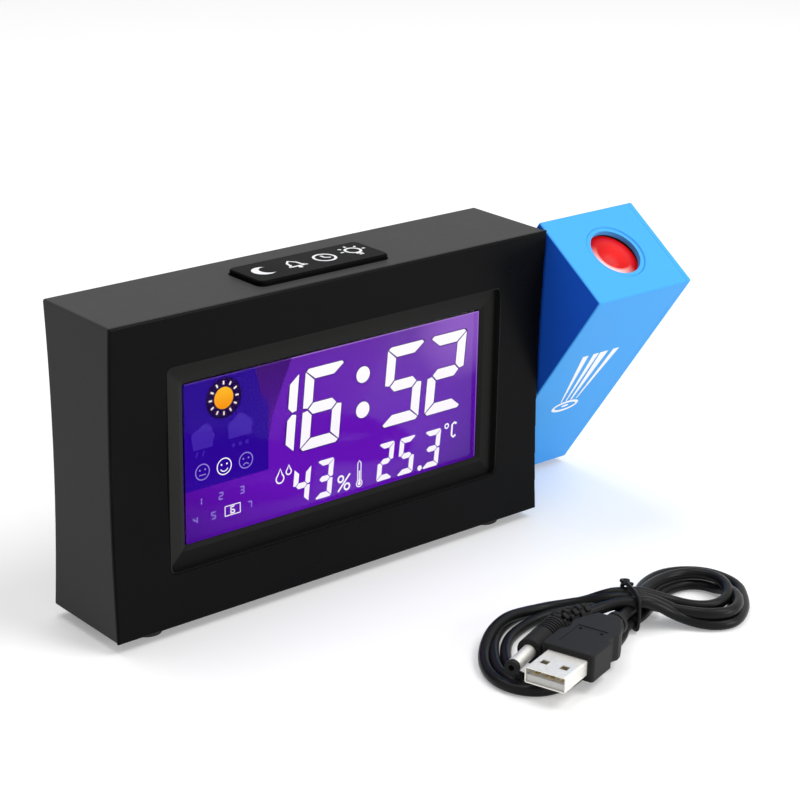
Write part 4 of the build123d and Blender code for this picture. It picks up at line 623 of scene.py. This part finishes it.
# degree sign with its C
reading_shapes += circle(41.5, -10.6, 0.7, 0.45)
celsius = [(45.4, -10.6), (44.6, -10.1), (43.7, -10.6), (43.5, -14.0), (44.2, -14.7), (45.1, -14.2)]
reading_shapes += stroke(celsius, 0.7)
# drops
for x, z, r in ((-21.0, -11.9, 1.35), (-17.9, -10.4, 0.9)):
    drop = arc(x, z, r, 130, 410, 22)
    reading_shapes += stroke(drop + [(x + 0.1 * r, z + 2.2 * r), drop[0]], 0.42)
# thermometer
reading_shapes += stroke([(7.3, -19.6), (7.3, -14.2), (7.9, -13.5), (8.5, -14.2), (8.5, -19.6)], 0.35)
reading_shapes += circle(7.9, -20.6, 1.05, 0.35) + [disc(7.9, -20.6, 0.6)]
reading_shapes += stroke([(7.9, -20.4), (7.9, -16.6)], 0.4)
display_print("reading_figures", reading_shapes, lit)


def face(x, z, r, mouth):
    """Plain comfort sign: a ring, two dots and a curved line."""
    eyes = [disc(x - r * 0.36, z + r * 0.25, r * 0.11), disc(x + r * 0.36, z + r * 0.25, r * 0.11)]
    lines = {"flat": [(x - r * 0.45, z - r * 0.35), (x + r * 0.45, z - r * 0.35)],
             "up": arc(x, z - r * 0.05, r * 0.52, 205, 335, 10),
             "down": arc(x, z - r * 0.75, r * 0.42, 30, 150, 10)}[mouth]
    return circle(x, z, r - 0.16, 0.32) + eyes + stroke(lines, 0.3)


display_print("comfort_signs", face(-47.5, -3.2, 2.45, "flat") + face(-32.8, -3.3, 2.45, "down"), dim)
day_shapes = []
for figure, x, z in (("1", -49.4, -13.0), ("2", -42.2, -13.0), ("3", -35.0, -13.0), ("4", -50.9, -18.2),
                     ("5", -44.8, -18.2), ("7", -32.4, -18.2)):
    day_shapes += digit(figure, x, z, 1.6, 2.3, 0.4, slant=0.0, gap=0.05)
display_print("day_numbers", day_shapes, dim)
frame_corners = [(-40.1, -18.4), (-34.9, -18.4), (-34.9, -15.5), (-40.1, -15.5), (-40.1, -18.4)]
today_shapes = face(-40.2, -3.3, 2.55, "up") + digit("6", -38.3, -18.1, 1.6, 2.3, 0.42, slant=0.0, gap=0.05)
for k in range(4):
    today_shapes += stroke(frame_corners[k:k + 2], 0.28)
display_print("day_today", today_shapes, lit)

# weather pictures that aren't lit: a cloud with slanting rain, a cloud with three drops
ghost_shapes = [disc(-49.0, 7.4, 2.0), disc(-46.4, 8.2, 2.4), disc(-44.9, 6.6, 1.6)]
ghost_shapes.append([(-50.4, 3.6), (-44.0, 3.6), (-43.8, 6.4), (-50.8, 6.4)])
ghost_shapes += stroke([(-49.0, 3.0), (-49.6, 1.4)], 0.5) + stroke([(-46.8, 3.0), (-47.4, 1.4)], 0.5)
ghost_shapes += [disc(-37.0, 7.8, 1.8), disc(-34.6, 9.0, 2.2), disc(-32.2, 7.6, 1.8)]
ghost_shapes.append([(-38.6, 4.4), (-30.8, 4.4), (-30.8, 7.2), (-38.6, 7.2)])
ghost_shapes += [disc(-37.0, 2.2, 0.6), disc(-34.7, 2.2, 0.6), disc(-32.4, 2.2, 0.6)]
display_print("weather_ghosts", ghost_shapes, ghost)
SUN_X, SUN_Z = -40.1, 16.8
display_print("sun_glow", [disc(SUN_X, SUN_Z, 6.0)], sun_halo, 1.5)
display_print("sun_disc", [disc(SUN_X, SUN_Z, 3.2)], sun_amber, 2.5)


# ---------------------------------------------------------------- bars round a ring
RING_INPUTS = {"Count": "Int", "Radius": "Float", "Length": "Float", "Width": "Float", "Thickness": "Float",
               "Place": "Vector", "Turn": "Vector", "Finish": "Material"}


def ring_tree(name):
    """Bars set round a circle, pointing away from its middle."""
    tree = bpy.data.node_groups.new(name, "GeometryNodeTree")
    make = tree.nodes.new
    for socket, kind in RING_INPUTS.items():
        tree.interface.new_socket(socket, in_out="INPUT", socket_type="NodeSocket" + kind)
    tree.interface.new_socket("Geometry", in_out="OUTPUT", socket_type="NodeSocketGeometry")
    given, result = make("NodeGroupInput"), make("NodeGroupOutput")
    ring, bar = make("GeometryNodeMeshCircle"), make("GeometryNodeMeshCube")
    where, aim = make("GeometryNodeInputPosition"), make("FunctionNodeAlignRotationToVector")
    spread, realize = make("GeometryNodeInstanceOnPoints"), make("GeometryNodeRealizeInstances")
    size, move = make("ShaderNodeCombineXYZ"), make("GeometryNodeTransform")
    paint = make("GeometryNodeSetMaterial")
    aim.axis = "X"
    join = tree.links.new
    join(given.outputs["Count"], ring.inputs["Vertices"])
    join(given.outputs["Radius"], ring.inputs["Radius"])
    for k, socket in enumerate(("Length", "Width", "Thickness")):
        join(given.outputs[socket], size.inputs[k])
    join(size.outputs[0], bar.inputs["Size"])
    join(where.outputs[0], aim.inputs["Vector"])
    join(ring.outputs[0], spread.inputs["Points"])
    join(bar.outputs["Mesh"], spread.inputs["Instance"])
    join(aim.outputs[0], spread.inputs["Rotation"])
    join(spread.outputs[0], realize.inputs[0])
    join(realize.outputs[0], move.inputs["Geometry"])
    join(given.outputs["Place"], move.inputs["Translation"])
    join(given.outputs["Turn"], move.inputs["Rotation"])
    join(move.outputs[0], paint.inputs["Geometry"])
    join(given.outputs["Finish"], paint.inputs["Material"])
    join(paint.outputs[0], result.inputs[0])
    return tree


rings = ring_tree("bars_round_a_ring")


def ring_of_bars(name, finish, body, slot, edge=0.0, **sizes):
    """A ring of bars with the given sizes, as a mesh. Its edges are rounded by so many millimetres."""
    made = bpy.data.objects.new(name, bpy.data.meshes.new(name))
    bpy.context.scene.collection.objects.link(made)
    modifier = made.modifiers.new("bars", "NODES")
    modifier.node_group = rings
    sizes["Finish"] = finish.material
    for item in rings.interface.items_tree:
        if item.in_out == "INPUT" and item.name in sizes:
            modifier[item.identifier] = sizes[item.name]
    if edge:
        rounded = made.modifiers.new("rounded", "BEVEL")
        rounded.width, rounded.segments = edge * MM, 2
    made = as_mesh(made)
    for polygon in made.data.polygons:
        polygon.use_smooth = False
    wear(made, finish, body, slot)
    return made


SUN_RAYS_LIFT = 0.028
sun_place = (DISPLAY_X + SUN_X) * MM, (LCD_Y - SUN_RAYS_LIFT) * MM, (DISPLAY_Z + SUN_Z) * MM
ring_of_bars("sun_rays", sun_ray, "clock", "display_glass", Count=12, Radius=4.45 * MM, Length=1.1 * MM,
             Width=0.52 * MM, Thickness=0.005 * MM, Place=sun_place, Turn=(pi / 2, 0, 0))

# strain relief of the barrel plug: a bent sleeve with staggered rows of knobs that shrink towards the cable
DC_TIP, DC_TURN, DC_HEIGHT = (-35.3, -40.8), 61.6, 7.05
RELIEF_START, RELIEF_BEND_R, RELIEF_BEND, RELIEF_ROWS = 27.3, 22.9, 35, 6
SLEEVE_R, SLEEVE_RUNS = 2.2, 4
# the first row's knobs: how far out they reach and start, their width, thickness and rounding
KNOB_OUT, KNOB_IN, KNOB_W, KNOB_T, KNOB_EDGE, KNOB_COUNT = 3.6, 1.9, 2.3, 1.5, 0.3, 6


def on_relief(degrees):
    """Point of the sleeve's axis after that many degrees of its bend."""
    along = RELIEF_START + RELIEF_BEND_R * sin(radians(degrees))
    aside = -RELIEF_BEND_R * (1 - cos(radians(degrees)))
    c, s = cos(radians(DC_TURN)), sin(radians(DC_TURN))
    return lead_point(DC_TIP[0] + along * c - aside * s, DC_TIP[1] + along * s + aside * c, DC_HEIGHT)


sleeve_way = [on_relief(k * RELIEF_BEND / SLEEVE_RUNS) for k in range(SLEEVE_RUNS + 1)]
relief_parts = [as_mesh(line("relief_sleeve", metres(sleeve_way), SLEEVE_R * MM))]
for row in range(RELIEF_ROWS):
    bend = (row + 0.5) * RELIEF_BEND / RELIEF_ROWS
    knob_out = KNOB_OUT - 0.13 * row
    turned = Matrix.Rotation(radians(LEAD_TURN + DC_TURN - bend), 3, "Z") @ Matrix.Rotation(pi / 2, 3, "Y")
    turned = turned @ Matrix.Rotation(radians(180 / KNOB_COUNT * (row % 2)), 3, "Z")
    relief_parts.append(ring_of_bars(
        f"relief_row_{row}", finishes["plug"], "clock", "cable_black", edge=KNOB_EDGE, Count=KNOB_COUNT,
        Radius=(knob_out + KNOB_IN) / 2 * MM, Length=(knob_out - KNOB_IN) * MM,
        Width=(KNOB_W - 0.1 * row) * MM, Thickness=KNOB_T * MM, Place=metres([on_relief(bend)])[0],
        Turn=turned.to_euler()))
relief = bpy.data.objects.new("relief_knobs", bpy.data.meshes.new("relief_knobs"))
bpy.context.scene.collection.objects.link(relief)
gathered = bmesh.new()
for part in relief_parts:
    gathered.from_mesh(part.data)
    bpy.data.objects.remove(part)
gathered.to_mesh(relief.data)
gathered.free()
wear(relief, "plug", "clock", "cable_black", "dc_strain_relief")

# ---------------------------------------------------------------- prints on block, button and keys
print_white = moulded("print_white", (0.95, 0.95, 0.96, 1), 0.5, gloss=0.2, spread=0.03)
icon_white = moulded("icon_white", (0.8, 0.8, 0.82, 1), 0.55, gloss=0.3, spread=0.04)
# how far the signs stand proud of the block, the button and the keys
BLOCK_LIFT, BUTTON_LIFT, KEY_LIFT = 0.04, 0.03, 0.02

# rays out of a lens
BLOCK_FRONT, RAYS_FROM, RAYS_TO = -16.5, -7.6, 16.8
beam = circle(18.75, -10.5, 5.1, 1.15, 0.42) + [disc(18.6, -10.3, 1.5, 0.42)]
# each ray's middle at its foot and its top, and its width there
RAYS = [(15.4, 11.4, 0.5, 2.5), (17.5, 15.9, 0.5, 2.4), (19.6, 19.4, 0.7, 3.4), (22.0, 24.6, 0.5, 2.6)]
for foot, top, narrow, wide in RAYS:
    beam.append([(foot - narrow / 2, RAYS_FROM), (foot + narrow / 2, RAYS_FROM),
                 (top + wide / 2, RAYS_TO), (top - wide / 2, RAYS_TO)])
flat("block_sign", beam, lambda a, b: on_block(a, BLOCK_FRONT - BLOCK_LIFT, b), -BLOCK_BACK, print_white,
     "projector", "white_plastic")

# moon, bell, clock and bulb
BUTTON_X, BUTTON_Y, BUTTON_TOP = -22.0, -2.6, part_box("snooze_button")[1].z / MM
outer, inner = arc(-16.0, 0, 3.5, 52, 308, 24), arc(-14.2, 0, 2.85, 75, 285, 24)
icons = [(p, q, t, u) for p, q, t, u in zip(outer, outer[1:], inner[1:], inner)]
bell = [(-8.2, -1.9), (-7.2, -0.8), (-7.0, 1.2), (-5.4, 3.1), (-3.8, 1.2), (-3.6, -0.8), (-2.6, -1.9)]
icons += stroke(bell, 0.8)
icons += stroke([(-8.6, -2.0), (-2.2, -2.0)], 0.8) + [disc(-5.4, -3.1, 0.7)]
icons += circle(5.4, 0, 3.2, 0.8) + stroke([(5.4, 2.0), (5.4, 0), (7.0, -0.9)], 0.75)
BULB_X, BULB_Y = 16.2, 0.7
icons += circle(BULB_X, BULB_Y, 2.3, 0.8)
icons += stroke([(15.1, -2.3), (17.3, -2.3)], 0.7) + stroke([(15.4, -3.4), (17.0, -3.4)], 0.7)
for k in range(5):
    angle = radians(k * 45)
    icons += stroke([(BULB_X + far * cos(angle), BULB_Y + far * sin(angle)) for far in (3.3, 4.4)], 0.7)
flat("button_signs", icons, lambda a, b: (BUTTON_X + a, BUTTON_Y + b, BUTTON_TOP + BUTTON_LIFT), (0, 0, 1),
     icon_white, "snooze", "white_plastic")

# plus, minus, clock, play, set and up
KEY_SIGNS = [
    stroke([(-1.1, 0), (1.1, 0)], 0.35) + stroke([(0, -1.1), (0, 1.1)], 0.35),
    stroke([(-1.1, 0), (1.1, 0)], 0.35),
    circle(0, 0, 1.0, 0.3) + stroke([(0, 0.6), (0, 0), (0.5, 0)], 0.25),
    [[(-0.8, -1.0), (1.0, 0), (-0.8, 1.0)]],
    (circle(0, 0, 0.6, 0.3) + [disc(0, 0, 0.25)]
     + stroke([(-1.2, 0), (-0.9, 0)], 0.3) + stroke([(0.9, 0), (1.2, 0)], 0.3)),
    stroke([(-1.0, -0.6), (0, 0.7), (1.0, -0.6)], 0.35),
]


def on_key(number):
    """Places on the outer face of a rear key, seen from behind."""
    low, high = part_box(f"rear_key_{number}")
    middle = (low + high) / 2 / MM
    return lambda a, b: (middle.x - a, high.y / MM + KEY_LIFT, middle.z + b)


for number, sign in enumerate(KEY_SIGNS, 1):
    flat(f"key_sign_{number}", sign, on_key(number), (0, 1, 0), icon_white, f"key_{number}", "white_plastic")

# ---------------------------------------------------------------- stage and light
floor_mesh = bpy.data.meshes.new("floor")
floor_mesh.from_pydata([(-9, -9, 0), (9, -9, 0), (9, 9, 0), (-9, 9, 0)], [], [(0, 1, 2, 3)])
floor = bpy.data.objects.new("floor", floor_mesh)
bpy.context.scene.collection.objects.link(floor)
table_top = Finish("floor_white", Roughness=0.9, Specular_IOR_Level=0.0, Emission_Strength=0.24)
table_top.set(Base_Color=table_top.mix(table_top.noise(3), (0.8, 0.8, 0.8, 1), (0.82, 0.82, 0.82, 1)))


def seen_by_eye(nodes_of):
    """One where the ray comes from the camera, a mirror or glass."""
    path = nodes_of.nodes.new("ShaderNodeLightPath")
    camera_ray, mirrored, through_glass = (
        Value(nodes_of, path.outputs[f"Is {kind} Ray"]) for kind in ("Camera", "Glossy", "Transmission"))
    return (camera_ray + mirrored + through_glass).held()


table_top.set(Emission_Color=table_top.mix(seen_by_eye(table_top), (0, 0, 0, 1), (1, 1, 1, 1)))
floor_mesh.materials.append(table_top.material)

world = bpy.data.worlds.new("studio")
world.use_nodes = True
bpy.context.scene.world = world


class Sky(Finish):
    """The world's nodes, with a finish's ways to add and link them."""

    def __init__(self, tree):
        self.nodes, self.links = tree.nodes, tree.links


sky = Sky(world.node_tree)
back = sky.nodes["Background"]
back.inputs["Color"].default_value = (1, 1, 1, 1)
sky.plug(back.inputs["Strength"], seen_by_eye(sky) * 0.62 + 0.38)


def lamp(name, place, aim, size, power):
    data = bpy.data.lights.new(name, "AREA")
    data.shape, data.size, data.energy = "DISK", size, power
    made = bpy.data.objects.new(name, data)
    made.location = place
    made.rotation_mode = "QUATERNION"
    made.rotation_quaternion = (Vector(aim) - Vector(place)).to_track_quat("-Z", "Y")
    bpy.context.scene.collection.objects.link(made)


lamp("key_lamp", (0.55, -0.75, 1.5), (0, 0, 0.04), 0.9, 13)
lamp("front_lamp", (0.75, -1.65, 0.4), (0, 0, 0.05), 1.0, 19)
lamp("top_lamp", (-0.1, 0.5, 1.7), (0, 0, 0.04), 1.2, 12)

bpy.context.scene.view_settings.view_transform = "Standard"

bpy.context.view_layer.update()
